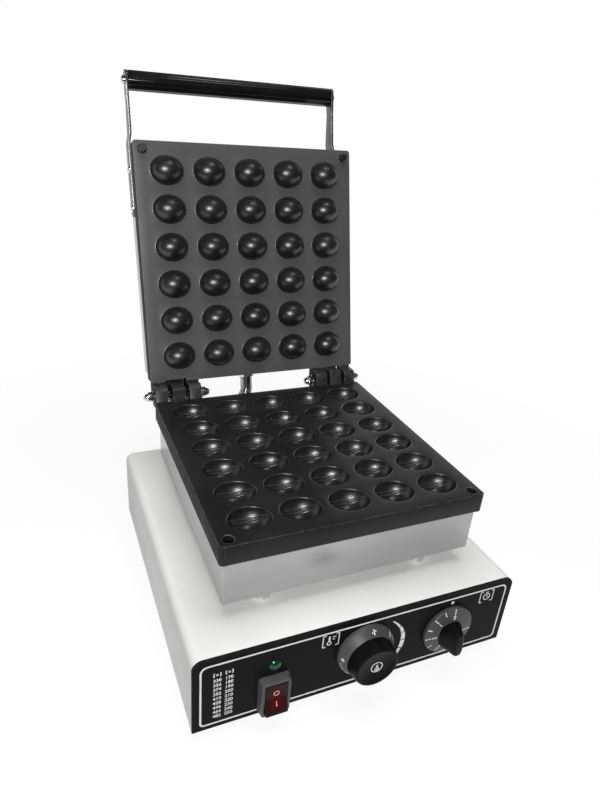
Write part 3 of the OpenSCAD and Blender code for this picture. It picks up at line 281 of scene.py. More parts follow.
# The same coating as the lower plate's face, made lighter for the lid's face, which faces the lamps: painted light.
lid_cast_lit_copy = finish_of("lid_cast_lit_copy", (0.079, 0.079, 0.08), (0.066, 0.066, 0.067), (0.36, 0.5), 16, 1100, 3e-5,
                     specular=0.35,
                     edge_rub_and_glint=3)
# The cast metal made lighter for the fronts of the hinge barrels: painted light.
lug_cast_lit_copy = finish_of("lug_cast_lit_copy", (0.024, 0.024, 0.0245), (0.036, 0.036, 0.0365), (0.24, 0.34), 60, 900, 3e-5, edge_rub_and_glint=7)
# The cast metal made darker for the plates' sides and the lugs' ends and webs: painted shade.
cast_side_shaded_copy = finish_of("cast_side_shaded_copy", (0.008, 0.008, 0.0085), (0.013, 0.013, 0.0135), (0.5, 0.65), 30, 900, 4e-5,
                      specular=0.08,
                      edge_rub_and_glint=14)
cavity_coat = finish_of("cavity_coat", (0.006, 0.006, 0.0063), (0.009, 0.009, 0.0094), (0.3, 0.36), 40, 300, 2e-4,
                        brushed=ACROSS_X, specular=0.9, edge_rub_and_glint=8)
dome_coat = finish_of("dome_coat", (0.005, 0.005, 0.0053), (0.008, 0.008, 0.0084), (0.31, 0.37), 40, 900, 3e-5,
                      specular=0.9,
                      edge_rub_and_glint=10)
polished_steel = finish_of("polished_steel", (0.47, 0.47, 0.475), (0.41, 0.41, 0.415), (0.24, 0.36), 7, 350, 6e-6, 1,
                           ACROSS_X)
bright_steel = finish_of("bright_steel", (0.74, 0.74, 0.74), (0.62, 0.62, 0.62), (0.08, 0.18), 120, 900, 6e-6, 1)
dark_steel = finish_of("dark_steel", (0.06, 0.06, 0.06), (0.035, 0.035, 0.035), (0.35, 0.5), 120, 900, 1e-5, 1, edge_rub_and_glint=3)
arm_steel = finish_of("arm_steel", (0.15, 0.15, 0.15), (0.11, 0.11, 0.11), (0.3, 0.42), 25, 500, 1e-5, 1, ACROSS_Z,
                      edge_rub_and_glint=2.6)
hose_steel = finish_of("hose_steel", (0.36, 0.36, 0.355), (0.26, 0.26, 0.255), (0.14, 0.26), 200, 1200, 6e-6, 1)
sheet_steel = finish_of("sheet_steel", (0.5, 0.5, 0.5), (0.42, 0.42, 0.42), (0.3, 0.45), 15, 500, 1e-5, 1, ACROSS_Y)
grip_black = finish_of("grip_black", (0.004, 0.004, 0.004), (0.006, 0.006, 0.006), (0.14, 0.22), 40, 900, 4e-6, edge_rub_and_glint=3)
knob_black = finish_of("knob_black", (0.0035, 0.0035, 0.0037), (0.005, 0.005, 0.0053), (0.3, 0.4), 40, 1800, 1e-5,
                       specular=0.06, edge_rub_and_glint=4)
skirt_grey = finish_of("skirt_grey", (0.05, 0.05, 0.051), (0.065, 0.065, 0.066), (0.38, 0.48), 40, 1800, 1e-5,
                       specular=0.3,
                       edge_rub_and_glint=1.6)
switch_black = finish_of("switch_black", (0.06, 0.06, 0.0605), (0.072, 0.072, 0.0725), (0.34, 0.46), 50, 2000, 1.5e-5,
                         specular=0.2, edge_rub_and_glint=3)
rocker_red = finish_of("rocker_red", (0.045, 0.0006, 0.0012), (0.062, 0.0009, 0.002), (0.12, 0.2), 60, 900, 4e-6,
                       specular=0.06)
rocker_dark = finish_of("rocker_dark", (0.01, 0.0012, 0.0014), (0.014, 0.0012, 0.0016), (0.14, 0.22), 60, 900, 4e-6,
                        specular=0.1)
rocker_print = finish_of("rocker_print", (0.7, 0.42, 0.42), (0.6, 0.34, 0.34), (0.3, 0.4), 60, 900, 4e-6)
lens_green = finish_of("lens_green", (0.0, 0.032, 0.012), (0.001, 0.05, 0.02), (0.08, 0.16), 90, 900, 4e-6)
rubber_black = finish_of("rubber_black", (0.02, 0.02, 0.02), (0.03, 0.03, 0.03), (0.6, 0.75), 60, 1500, 4e-5)
heat_tinted = finish_of("heat_tinted", (0.2, 0.15, 0.11), (0.1, 0.09, 0.1), (0.3, 0.45), 40, 900, 1e-5, 1)
fibre_wool = finish_of("fibre_wool", (0.8, 0.78, 0.7), (0.66, 0.63, 0.55), (0.85, 0.95), 60, 700, 3e-4)
copper_tube = finish_of("copper_tube", (0.62, 0.32, 0.19), (0.45, 0.22, 0.14), (0.22, 0.35), 80, 900, 1e-5, 1)
moulded_ivory = finish_of("moulded_ivory", (0.7, 0.68, 0.6), (0.62, 0.6, 0.52), (0.4, 0.5), 60, 1500, 1e-5)


# Mesh tools
def edges_along(bm, axis, where):
    found = []
    for edge in bm.edges:
        run = (edge.verts[1].co - edge.verts[0].co).normalized()
        if abs(run[axis]) > 0.99 and where((edge.verts[0].co + edge.verts[1].co) / 2):
            found.append(edge)
    return found


def bevel(bm, edges, width, segments=3):
    bmesh.ops.bevel(bm, geom=list(edges), offset=width, offset_type="OFFSET", segments=segments, profile=0.5,
                    affect="EDGES", material=-1, clamp_overlap=True)


def sharp_edges(bm, angle=math.radians(40)):
    return [e for e in bm.edges if len(e.link_faces) == 2 and e.calc_face_angle(0) > angle]


def block(size, middle=(0, 0, 0)):
    bm = bmesh.new()
    bmesh.ops.create_cube(bm, size=1)
    bmesh.ops.scale(bm, vec=size, verts=bm.verts)
    bmesh.ops.translate(bm, vec=middle, verts=bm.verts)
    return bm


def new_verts(result):
    """The points that an extrusion added."""
    return [g for g in result["geom"] if isinstance(g, bmesh.types.BMVert)]


def turned(profile, steps):
    """A lathe piece from (radius, height) points, about Z."""
    bm = bmesh.new()
    rim = [bm.verts.new((r, 0, z)) for r, z in profile]
    for a, b in zip(rim, rim[1:]):
        bm.edges.new((a, b))
    bmesh.ops.spin(bm, geom=bm.verts[:] + bm.edges[:], cent=(0, 0, 0), axis=(0, 0, 1), angle=math.tau, steps=steps,
                   use_merge=True)
    bmesh.ops.remove_doubles(bm, verts=bm.verts, dist=1e-4)
    bmesh.ops.recalc_face_normals(bm, faces=bm.faces)
    return bm


def extruded(outline, depth):
    """A flat outline in XY, pulled up by depth."""
    bm = bmesh.new()
    face = bm.faces.new([bm.verts.new((x, y, 0)) for x, y in outline])
    pulled = bmesh.ops.extrude_face_region(bm, geom=[face])
    bmesh.ops.translate(bm, vec=(0, 0, depth), verts=new_verts(pulled))
    bmesh.ops.recalc_face_normals(bm, faces=bm.faces)
    return bm


def lofted(rows, closed=False):
    """A skin through rows of as many points, each row extruded from the one before; closed joins a row's ends."""
    bm = bmesh.new()
    order = bm.verts.layers.int.new("order")
    verts = [bm.verts.new(point) for point in rows[0]]
    for k, vert in enumerate(verts):
        vert[order] = k
    followers = verts[1:] + verts[:1] if closed else verts[1:]
    ring = [bm.edges.new(pair) for pair in zip(followers, verts)]
    for row in rows[1:]:
        new = bmesh.ops.extrude_edge_only(bm, edges=ring)
        fresh = set(new_verts(new))
        for vert in fresh:
            vert.co = row[vert[order]]
        ring = [g for g in new["geom"] if isinstance(g, bmesh.types.BMEdge) and fresh.issuperset(g.verts)]
    bm.verts.layers.int.remove(order)
    return bm


def full_turn(steps):
    return [math.tau * k / steps for k in range(steps)]


def arc(cx, cy, r, start, end, steps):
    """Points of an arc, angles in degrees."""
    turns = [math.radians(start + (end - start) * k / steps) for k in range(steps + 1)]
    return [(cx + r * math.cos(t), cy + r * math.sin(t)) for t in turns]


def hexagon(af, height, edge=0.5):
    bm = bmesh.new()
    r = af / 2 / math.cos(math.pi / 6)
    bmesh.ops.create_cone(bm, cap_ends=True, segments=6, radius1=r, radius2=r, depth=height)
    bmesh.ops.translate(bm, vec=(0, 0, height / 2), verts=bm.verts)
    bevel(bm, sharp_edges(bm), edge, 2)
    return bm


def joined(*parts):
    """Several meshes as one; a part may be (mesh, matrix)."""
    whole = bmesh.new()
    for part in parts:
        bm, place = part if isinstance(part, tuple) else (part, Matrix.Identity(4))
        bmesh.ops.transform(bm, matrix=place, verts=bm.verts)
        mesh = mesh_of("part", bm)
        whole.from_mesh(mesh)
        bpy.data.meshes.remove(mesh)
    return whole


def moved(x=0, y=0, z=0):
    return Matrix.Translation((x, y, z))


def turn(degrees, axis):
    return Matrix.Rotation(math.radians(degrees), 4, axis)


def mesh_of(name, bm, *materials):
    mesh = bpy.data.meshes.new(name)
    bm.to_mesh(mesh)
    bm.free()
    for material in materials:
        mesh.materials.append(material)
    return mesh


def piece(name, bm, place, body, materials, replaces=(), crease=35):
    """Finishes a mesh as one piece of the object, riding on its body."""
    bmesh.ops.transform(bm, matrix=place, verts=bm.verts)
    if place.determinant() < 0:
        bmesh.ops.reverse_faces(bm, faces=bm.faces)
    mesh = mesh_of(name, bm, *(materials if isinstance(materials, list) else [materials]))
    mesh.polygons.foreach_set("use_smooth", [True] * len(mesh.polygons))
    mesh.set_sharp_from_angle(angle=math.radians(crease))
    obj = linked(name, mesh)
    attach(obj, body)
    if replaces:
        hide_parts(*replaces)


def cut(bm, *tools):
    """Takes closed tools out of a closed mesh."""
    scratch = [linked("cut", mesh_of("cut", shape)) for shape in (bm, *tools)]
    for tool in scratch[1:]:
        boolean = scratch[0].modifiers.new("cut", "BOOLEAN")
        boolean.operation, boolean.solver, boolean.object = "DIFFERENCE", "EXACT", tool
    bpy.context.view_layer.update()
    shaped = scratch[0].evaluated_get(bpy.context.evaluated_depsgraph_get())
    result = bmesh.new()
    result.from_mesh(shaped.to_mesh())
    for obj in scratch:
        mesh = obj.data
        bpy.data.objects.remove(obj)
        bpy.data.meshes.remove(mesh)
    return result


# Castings
CELL_STEPS, BOWL_RINGS, LIP_RINGS = 48, 12, 5
# Places of a casting's finishes: its face, its cavities or domes, its sides, which take painted shade, and the tops of
# its hinge lugs, which take painted light
FACE, FORM, SIDE, LUG = range(4)
HOLE_DEEP, HOLE_EDGE, PIN_PLAY, PIN_PRESS = 7, 0.4, 0.4, 0.05
# Less than this, in millimetres, is no distance
TINY = 1e-6


def next_ring(bm, ring, place):
    """Extrudes a closed ring of edges and puts its new points where place says."""
    new = bmesh.ops.extrude_edge_only(bm, edges=ring)["geom"]
    for vert in (g for g in new if isinstance(g, bmesh.types.BMVert)):
        vert.co = place(vert.co)
    return [g for g in new if isinstance(g, bmesh.types.BMEdge) and len(g.link_faces) == 1]


def form_levels(half_l, half_w, high, soft, up):
    """Half length, half width and height of each ring of a cavity or dome, from its soft rim to near its tip, and
    the tip's height; up is 1 for a dome and -1 for a cavity."""
    quarter = math.pi / 2
    rim = [quarter * k / LIP_RINGS for k in range(LIP_RINGS + 1)]
    levels = [(half_l + soft * (1 - math.sin(t)), half_w + soft * (1 - math.sin(t)), up * soft * (1 - math.cos(t)))
              for t in rim]
    first = math.asin(soft / high)
    turns = [first + (quarter - first) * k / (BOWL_RINGS + 1) for k in range(1, BOWL_RINGS + 1)]
    return levels + [(half_l * math.cos(t), half_w * math.cos(t), up * high * math.sin(t)) for t in turns], up * high


def face_cell(levels, tip):
    """One rectangle of the baking face with its cavity or dome, open along its rim."""
    half_x, half_y = CAVITY_PITCH_X / 2, CAVITY_PITCH_Y / 2
    corner = math.atan2(half_y, half_x)
    corners = (corner, math.pi - corner, math.pi + corner, math.tau - corner)
    rim = []
    for t in full_turn(CELL_STEPS):
        near = min(corners, key=lambda a: abs(a - t))
        turn_at = near if abs(near - t) < math.pi / CELL_STEPS else t
        c, s = math.cos(turn_at), math.sin(turn_at)
        reach = min(half_x / max(abs(c), TINY), half_y / max(abs(s), TINY))
        rim.append((reach * c, reach * s, 0))
    rows = [[(a * math.cos(t), b * math.sin(t), z) for t in full_turn(CELL_STEPS)] for a, b,
            z in levels + [(0, 0, tip)]]
    bm = lofted([rim] + rows, closed=True)
    for face in bm.faces:
        if any(abs(v.co.z) > TINY for v in face.verts):
            face.material_index = FORM
    bmesh.ops.remove_doubles(bm, verts=[v for v in bm.verts if abs(v.co.z - tip) < TINY], dist=1e-3)
    return bm


# Beads that leave a walnut's seam: half width, height, lean of the pair toward the hinge, half the angle between them
SEAM_HALF, SEAM_HIGH, SEAM_LEAN, SEAM_SPREAD = 1.2, 1, 43, 6.5
SEAM_START, SEAM_SUNK, SEAM_STEPS, SEAM_SIDES = math.radians(14), 0.12, 22, 6


def seam_bead():
    """One bead along a cavity, fading out at both ends; cavity_seam leans it onto the rear wall."""
    rows = []
    for n in range(SEAM_STEPS + 1):
        t = SEAM_START + (math.pi - 2 * SEAM_START) * n / SEAM_STEPS
        fade = math.sin(math.pi * n / SEAM_STEPS) ** 0.35 if 0 < n < SEAM_STEPS else 0.05
        middle = Vector((CAVITY_HALF_L * math.cos(t), 0, -CAVITY_DEEP * math.sin(t)))
        inward = Vector((-math.cos(t) / CAVITY_HALF_L, 0, math.sin(t) / CAVITY_DEEP)).normalized()
        across, high = Vector((0, SEAM_HALF * fade, 0)), SEAM_HIGH * fade
        turns = [math.pi * k / SEAM_SIDES for k in range(SEAM_SIDES, -1, -1)]
        rows.append([middle + across * math.cos(a) + inward * (high * math.sin(a) - SEAM_SUNK) for a in turns])
    bm = lofted(rows)
    bmesh.ops.recalc_face_normals(bm, faces=bm.faces)
    if sum(f.normal.z * f.calc_area() for f in bm.faces) < 0:
        bmesh.ops.reverse_faces(bm, faces=bm.faces)
    for face in bm.faces:
        face.material_index = FORM
    return bm


def cavity_seam():
    """Two beads with the seam between them."""
    return joined(*[(seam_bead(), turn(SEAM_LEAN + s * SEAM_SPREAD, "X")) for s in (-1, 1)])


def lug(reach, heel):
    """Outline of a hinge lug in (y, z) of the half frame: a web and a square barrel with rounded corners."""
    c, s = math.cos(OPEN_ANGLE), math.sin(OPEN_ANGLE)
    half, root = BARREL_HALF, -HINGE_REACH - 2
    flat = math.sqrt(reach ** 2 - half ** 2)
    points = [(root, FACE_Z), (-half, FACE_Z), (-half, flat), (-flat, half)]
    if heel:
        def at(a, n):
            return -a * c + n * s, a * s + n * c
        points += [at((half - HEEL_LOW * c) / s, HEEL_LOW), at(HEEL_A, HEEL_LOW), at(HEEL_A, HEEL_HIGH)]
    else:
        points.append((flat, half))
    return points + [(half, flat), (half, -flat), (flat, -half), (0, -half), (0, FACE_Z - WEB_H),
                     (root, FACE_Z - WEB_H)]


LUG_EDGE, BORE_R, BORE_MOUTH = 0.8, 3.2, 4.3
# From (y, z) drawn flat and pulled up to the same outline standing across X
TO_SIDE = Matrix(((0, 0, 1, 0), (1, 0, 0, 0), (0, 1, 0, 0), (0, 0, 0, 1)))


def lugs():
    """The fork on one side of a half and the tongue on the other, with the bridge under the fork."""
    parts = []
    for x0, thick, reach, heel in ((FORK_X - FORK_W / 2, LUG_T, LUG_R, True),
                                   (FORK_X + FORK_W / 2 - LUG_T, LUG_T, LUG_R, True),
                                   (-FORK_X - TONGUE_T / 2, TONGUE_T, TONGUE_R, False)):
        one = extruded(lug(reach, heel), thick)
        bevel(one, sharp_edges(one, math.radians(30)), LUG_EDGE, 3)
        bore = [(0, -1), (BORE_MOUTH, -1), (BORE_MOUTH, 0.05), (BORE_R, 1.1)]
        bore += [(r, thick - z) for r, z in reversed(bore)]
        parts.append((cut(one, turned(bore, 32)), moved(x0) @ TO_SIDE))
    floor_y = HINGE_REACH + NOTCH
    bridge = block((FORK_W - LUG_T, floor_y, -FORK_FLOOR - UNDER_Z), (FORK_X, -floor_y / 2, (UNDER_Z - FORK_FLOOR) / 2))
    parts.append((bridge, moved()))
    return joined(*parts)


def at_cells(cell):
    """Copies of a mesh at the middle of every cavity or dome."""
    return [(cell.copy(), moved((i - (CAVITY_COLUMNS - 1) / 2) * CAVITY_PITCH_X,
                                (j - (CAVITY_ROWS - 1) / 2) * CAVITY_PITCH_Y))
            for i in range(CAVITY_COLUMNS) for j in range(CAVITY_ROWS)]


def casting(name, place, body, node, hole_r, cell, finishes_of_it, extra=None):
    """A cast plate: its face grown from cells, its rim pulled down, corners rounded, pin holes cut, lugs added."""
    bm = joined(*at_cells(cell))
    bmesh.ops.remove_doubles(bm, verts=bm.verts, dist=1e-2)
    rim = [e for e in bm.edges if len(e.link_faces) == 1]
    inner_w, inner_l = CAVITY_COLUMNS * CAVITY_PITCH_X, CAVITY_ROWS * CAVITY_PITCH_Y
    rim = next_ring(bm, rim, lambda p: Vector((p.x * PLATE_W / inner_w, p.y * PLATE_L / inner_l, 0)))
    rim = next_ring(bm, rim, lambda p: Vector((p.x, p.y, -PLATE_T)))
    bmesh.ops.edgenet_fill(bm, edges=rim)
    bmesh.ops.recalc_face_normals(bm, faces=bm.faces)
    bevel(bm, edges_along(bm, 2, lambda m: abs(m.x) > PLATE_W / 2 - 0.01 and abs(m.y) > PLATE_L / 2 - 0.01),
          PLATE_CORNER, 6)
    outer = [e for e in sharp_edges(bm) if max(abs(v.co.z * (v.co.z + PLATE_T)) for v in e.verts) < TINY
             and min(max(abs(v.co.x) - PLATE_W / 2, abs(v.co.y) - PLATE_L / 2) for v in e.verts) > -PLATE_CORNER]
    bevel(bm, outer, PLATE_EDGE, 3)
    tools = []
    for x in (-PIN_X, PIN_X):
        mouth_r = hole_r + HOLE_EDGE
        hole = turned([(0, -HOLE_DEEP), (hole_r, -HOLE_DEEP), (hole_r, -HOLE_EDGE), (mouth_r, 0), (mouth_r, 1), (0, 1)],
                      32)
        bmesh.ops.translate(hole, vec=(x, PIN_IN_Y - PLATE_L / 2, 0), verts=hole.verts)
        tools.append(hole)
    notch = FORK_W - 2 * LUG_T
    floor_z = -FORK_FLOOR - FACE_Z
    tools.append(block((notch, 2 * NOTCH, PLATE_T - floor_z), (FORK_X, PLATE_L / 2, (PLATE_T + floor_z) / 2)))
    parts = [cut(bm, *tools)]
    if extra:
        parts += at_cells(extra)
    plate = joined(*parts)
    # The left and right sides of the plate take the darker copy of the cast metal: painted shade.
    for face in plate.faces:
        if face.material_index == FACE and abs(face.normal.x) > 0.9 and face.calc_center_median().z < -PLATE_EDGE / 2:
            face.material_index = SIDE
    ears = lugs()
    # The lugs' ends and their webs toward the plate take the darker copy, painted shade; the barrels take the lighter
    # copy, painted light.
    for face in ears.faces:
        face.material_index = SIDE if abs(face.normal.x) > 0.9 or face.calc_center_median().y < -BARREL_HALF else LUG
    whole = joined((plate, moved(0, HALF_MID_Y, FACE_Z)), ears)
    piece(name, whole, place, body, finishes_of_it, (node,), 38)


cavity = form_levels(CAVITY_HALF_L, CAVITY_HALF_W, CAVITY_DEEP, CAVITY_LIP, -1)
dome = form_levels(DOME_HALF_L, DOME_HALF_W, DOME_HIGH, DOME_FILLET, 1)
casting("casting_lower", LOWER, "base", "lower_plate", PIN_R + PIN_PLAY, face_cell(*cavity),
        [lower_cast_shaded_copy, cavity_coat, cast_side_shaded_copy, lug_cast_lit_copy], cavity_seam())
casting("casting_lid", LID, "lid", "upper_plate", PIN_R + PIN_PRESS, face_cell(*dome),
        [lid_cast_lit_copy, dome_coat, cast_side_shaded_copy, lug_cast_lit_copy])


# Locating pins
def pins():
    parts = []
    for x in (-PIN_X, PIN_X):
        parts.append((turned([(0, -6), (PIN_R, -6), (PIN_R, PIN_H - 1.2), (PIN_R - 0.9, PIN_H), (0, PIN_H)], 32),
                      moved(x, HALF_MID_Y - PLATE_L / 2 + PIN_IN_Y, FACE_Z)))
    return joined(*parts)


piece("pins_on_lid", pins(), LID, "lid", dome_coat, ("locating_pins",))


# Heater boxes: folded sheet, open toward the plate
def folded_box():
    bm = block((BOX_W, BOX_L, BOX_H), (0, HALF_MID_Y, FLOOR_Z + BOX_H / 2))
    top = [f for f in bm.faces if f.calc_center_median().z > UNDER_Z - 0.01]
    bmesh.ops.delete(bm, geom=top, context="FACES_ONLY")
    bevel(bm, [e for e in bm.edges if len(e.link_faces) == 2], BOX_FOLD, 4)
    bmesh.ops.recalc_face_normals(bm, faces=bm.faces)
    bmesh.ops.solidify(bm, geom=bm.faces[:], thickness=BOX_SHEET)
    return bm


piece("box_lower", folded_box(), LOWER, "base", polished_steel, ("lower_heater_box",))
piece("cover_lid", folded_box(), LID, "lid", polished_steel, ("upper_heater_cover",))


# Hinge hardware
WASHER_T = 1.2


def acorn_nut():
    hexed = hexagon(10, 5.6, 0.45)
    dome = turned([(0, 5), (4.5, 5), (4.45, 5.9), (4.2, 7.2), (3.6, 8.6), (2.6, 9.7), (1.4, 10.35), (0, 10.5)], 32)
    return joined(hexed, dome)


def hinge_nuts():
    half = FORK_W / 2 + WASHER_T
    return joined(*[(acorn_nut(), moved(FORK_X + s * half) @ turn(90 * s, "Y")) for s in (-1, 1)])


piece("acorns_left", hinge_nuts(), LID, "lid", bright_steel, ("hinge_nuts_left",))
piece("acorns_right", hinge_nuts(), LOWER, "base", bright_steel, ("hinge_nuts_right",))


# Handle
def arm_outline():
    """Side view of an arm in (y, z) of the half frame."""
    end_r = (ARM_NEAR + ARM_FAR) / 2
    end_y = BOX_FRONT_Y + ARM_SCREW_IN + ARM_SCREW_GAP
    end_z = ARM_Z + ARM_NEAR - end_r
    wide_y = BOX_FRONT_Y - ARM_WIDE
    taper_y = wide_y - ARM_TAPER
    grip = arc(GRIP_Y, ARM_Z, GRIP_R, 120, 240, 14)
    low = [(end_y - 1, ARM_Z - ARM_FAR), (wide_y, ARM_Z - ARM_FAR), (taper_y, ARM_Z - ARM_TIP),
           (GRIP_Y + 6, ARM_Z - GRIP_R + 2)]
    high = [(GRIP_Y + 6, ARM_Z + GRIP_R - 2), (taper_y, ARM_Z + ARM_TIP), (wide_y, ARM_Z + ARM_NEAR),
            (end_y - 1, ARM_Z + ARM_NEAR)]
    return arc(end_y, end_z, end_r, 80, -80, 16) + low + list(reversed(grip)) + high


def arm():
    bm = extruded(arm_outline(), ARM_T)
    bmesh.ops.transform(bm, matrix=moved(BOX_W / 2) @ TO_SIDE, verts=bm.verts)
    bends = (BOX_FRONT_Y - JOGGLE_START, BOX_FRONT_Y - JOGGLE_START - JOGGLE_L)
    for y in (bends[0] + 1.5, bends[0] - 1.5, bends[1] + 1.5, bends[1] - 1.5):
        bmesh.ops.bisect_plane(bm, geom=bm.verts[:] + bm.edges[:] + bm.faces[:], plane_co=(0, y, 0), plane_no=(0, 1, 0))
    for vert in bm.verts:
        t = min(max((bends[0] - vert.co.y) / JOGGLE_L, 0), 1)
        vert.co.x -= JOGGLE * t * t * (3 - 2 * t)
    bmesh.ops.recalc_face_normals(bm, faces=bm.faces)
    flat = [e for e in bm.edges if len(e.link_faces) == 2 and e.calc_face_angle(0) > math.radians(60)]
    bevel(bm, flat, 0.35, 2)
    return bm


piece("arm_left", arm(), LID, "lid", arm_steel, ("handle_arm_left",))
piece("arm_right", arm(), LID @ Matrix.Scale(-1, 4, (1, 0, 0)), "lid", arm_steel, ("handle_arm_right",))


def grip():
    half = BOX_W / 2 - JOGGLE
    bm = turned([(3.1, -half), (GRIP_R - 1.8, -half), (GRIP_R - 0.5, -half + 0.6), (GRIP_R, -half + 2),
                 (GRIP_R, -half / 2),
                 (GRIP_R, half / 2), (GRIP_R, half - 2), (GRIP_R - 0.5, half - 0.6), (GRIP_R - 1.8, half), (3.1, half)],
                 112)
    for vert in bm.verts:
        r = math.hypot(vert.co.x, vert.co.y)
        if r > GRIP_R - 0.01 and abs(vert.co.z) < half - 1:
            dip = FLUTE_DEEP * math.cos(GRIP_FLUTES / 2 * math.atan2(vert.co.y, vert.co.x)) ** 2 / r
            vert.co.x, vert.co.y = vert.co.x * (1 - dip), vert.co.y * (1 - dip)
    bmesh.ops.transform(bm, matrix=moved(0, GRIP_Y, ARM_Z) @ turn(90, "Y"), verts=bm.verts)
    return bm


piece("grip", grip(), LID, "lid", grip_black, ("handle_grip",))


def domed_nuts():
    x = BOX_W / 2 - JOGGLE + ARM_T
    profile = [(0, 0), (DOME_R, 0), (DOME_R, DOME_H * 0.35), (DOME_R * 0.9, DOME_H * 0.65),
               (DOME_R * 0.6, DOME_H * 0.92), (0, DOME_H)]
    return joined(*[(turned(profile, 32), moved(s * x, GRIP_Y, ARM_Z) @ turn(90 * s, "Y")) for s in (-1, 1)])


piece("grip_nuts", domed_nuts(), LID, "lid", bright_steel, ("handle_nuts",))


def pan_screw():
    """Pan head with a crossed recess, its seat at z = 0."""
    bm = turned([(0, -0.2), (3.8, -0.2), (3.8, 0.5), (3.5, 1.3), (2.8, 2.0), (1.6, 2.35), (0, 2.4)], 32)
    slots = [block((4.4, 0.9, 2.4), (0, 0, 2.6)), block((0.9, 4.4, 2.4), (0, 0, 2.6))]
    return cut(bm, *slots)


def arm_screws():
    parts = []
    for s in (-1, 1):
        for k in (0, 1):
            y = BOX_FRONT_Y + ARM_SCREW_IN + k * ARM_SCREW_GAP
            parts.append((pan_screw(), moved(s * (BOX_W / 2 + ARM_T), y, ARM_Z) @ turn(90 * s, "Y")))
    return joined(*parts)


piece("screws_on_arms", arm_screws(), LID, "lid", bright_steel, ("arm_screws",))


SCREW_X, SCREW_Y = 100, 102.2


def plate_screws():
    parts = []
    for i in (-1, 1):
        for j in (-1, 1):
            parts.append((pan_screw(), moved(i * SCREW_X, HALF_MID_Y + j * SCREW_Y, FLOOR_Z) @ turn(180, "X")))
    return joined(*parts)


piece("screws_lower_box", plate_screws(), LOWER, "base", bright_steel, ("lower_plate_screws",))
piece("screws_cover", plate_screws(), LID, "lid", bright_steel, ("upper_plate_screws",))


# Conduit: a ribbed hose with smooth sleeves at its ends, from the base to the lid, along a curve with two pulls
HOSE_LOW, HOSE_LOW_END, HOSE_LOW_PULL = (Vector(v) for v in ((-46, 125.18, 45.3), (-46, 139.58, 45.3),
                                                             (-46, 214.58, 45.3)))
HOSE_TOP, HOSE_TOP_END, HOSE_TOP_PULL = (Vector(v) for v in ((-1.5, 133.76, 161.37), (-1.5, 130.1, 147.44),
                                                             (-1.5, 123.75, 123.26)))
HOSE_R, HOSE_SHOULDER, HOSE_GROOVE, HOSE_RIBS, HOSE_SIDES = 7.2, 6.95, 6.1, 56, 28
# Rows this close to a sleeve's ends keep its shading straight
SLEEVE_NEAR = 0.2


def hose_curve(t):
    """Place and direction on the hose's middle, t from 0 below to 1 above."""
    a, b, c, d = HOSE_LOW_END, HOSE_LOW_PULL, HOSE_TOP_PULL, HOSE_TOP_END
    spot = a * (1 - t) ** 3 + b * 3 * t * (1 - t) ** 2 + c * 3 * t * t * (1 - t) + d * t ** 3
    run = (b - a) * (1 - t) ** 2 + (c - b) * 2 * t * (1 - t) + (d - c) * t * t
    return spot, run.normalized()


def hose():
    low_run, top_run = (HOSE_LOW_END - HOSE_LOW).normalized(), (HOSE_TOP - HOSE_TOP_END).normalized()
    low_near, top_near = low_run * SLEEVE_NEAR, top_run * SLEEVE_NEAR
    stations = [(spot, low_run, HOSE_R) for spot in (HOSE_LOW, HOSE_LOW + low_near, HOSE_LOW_END - low_near)]
    rib = (HOSE_R, HOSE_SHOULDER, HOSE_GROOVE, HOSE_SHOULDER)
    rib_rows = HOSE_RIBS * len(rib)
    stations += [(*hose_curve(k / rib_rows), rib[k % len(rib)]) for k in range(rib_rows + 1)]
    stations += [(spot, top_run, HOSE_R) for spot in (HOSE_TOP_END + top_near, HOSE_TOP - top_near, HOSE_TOP)]
    rows = []
    for spot, run, r in stations:
        across = run.cross(Vector((1, 0, 0))).normalized()
        side = across.cross(run)
        rows.append([spot + r * (math.cos(t) * side + math.sin(t) * across) for t in full_turn(HOSE_SIDES)])
    bm = lofted(rows, closed=True)
    bmesh.ops.holes_fill(bm, edges=[e for e in bm.edges if len(e.link_faces) == 1])
    bmesh.ops.recalc_face_normals(bm, faces=bm.faces)
    bmesh.ops.scale(bm, vec=(MM, MM, MM), verts=bm.verts)
    return bm


def place_hose():
    mesh = mesh_of("hose", hose(), hose_steel)
    mesh.polygons.foreach_set("use_smooth", [True] * len(mesh.polygons))
    obj = linked("hose", mesh)
    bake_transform(obj)
    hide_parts("conduit")


place_hose()

# Base housing: one bent sheet with a rear wall
base_low, base_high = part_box("base_housing")
BASE = Matrix.Translation((0, base_low[1], base_low[2])) @ SCALE
HOUSING_H = (base_high[2] - base_low[2]) / MM


def arch(w, h, r, steps=10):
    return [(w / 2, 0)] + arc(w / 2 - r, h - r, r, 0, 90, steps) + arc(r - w / 2, h - r, r, 90, 180,
                                                                       steps) + [(-w / 2, 0)]


def housing():
    bm = bmesh.new()
    rim = [bm.verts.new((x, 0, z)) for x, z in arch(BASE_W, HOUSING_H, BASE_BEND)]
    ring = [bm.edges.new(pair) for pair in zip(rim, rim[1:])]
    pulled = bmesh.ops.extrude_edge_only(bm, edges=ring)
    far = set(new_verts(pulled))
    bmesh.ops.translate(bm, vec=(0, BASE_L, 0), verts=list(far))
    bmesh.ops.contextual_create(bm, geom=[e for e in bm.edges if e.verts[0] in far and e.verts[1] in far])
    bmesh.ops.recalc_face_normals(bm, faces=bm.faces)
    bevel(bm, [e for e in bm.edges if len(e.link_faces) == 2 and e.verts[0] in far and e.verts[1] in far], BASE_FOLD, 4)
    bmesh.ops.solidify(bm, geom=bm.faces[:], thickness=BASE_SHEET)
    return bm


piece("housing", housing(), BASE, "base", pale_enamel, ("base_housing",))


# Print on the panel: border, marks and plain numbers
PRINT_T, BOLD = 0.12, 0.018


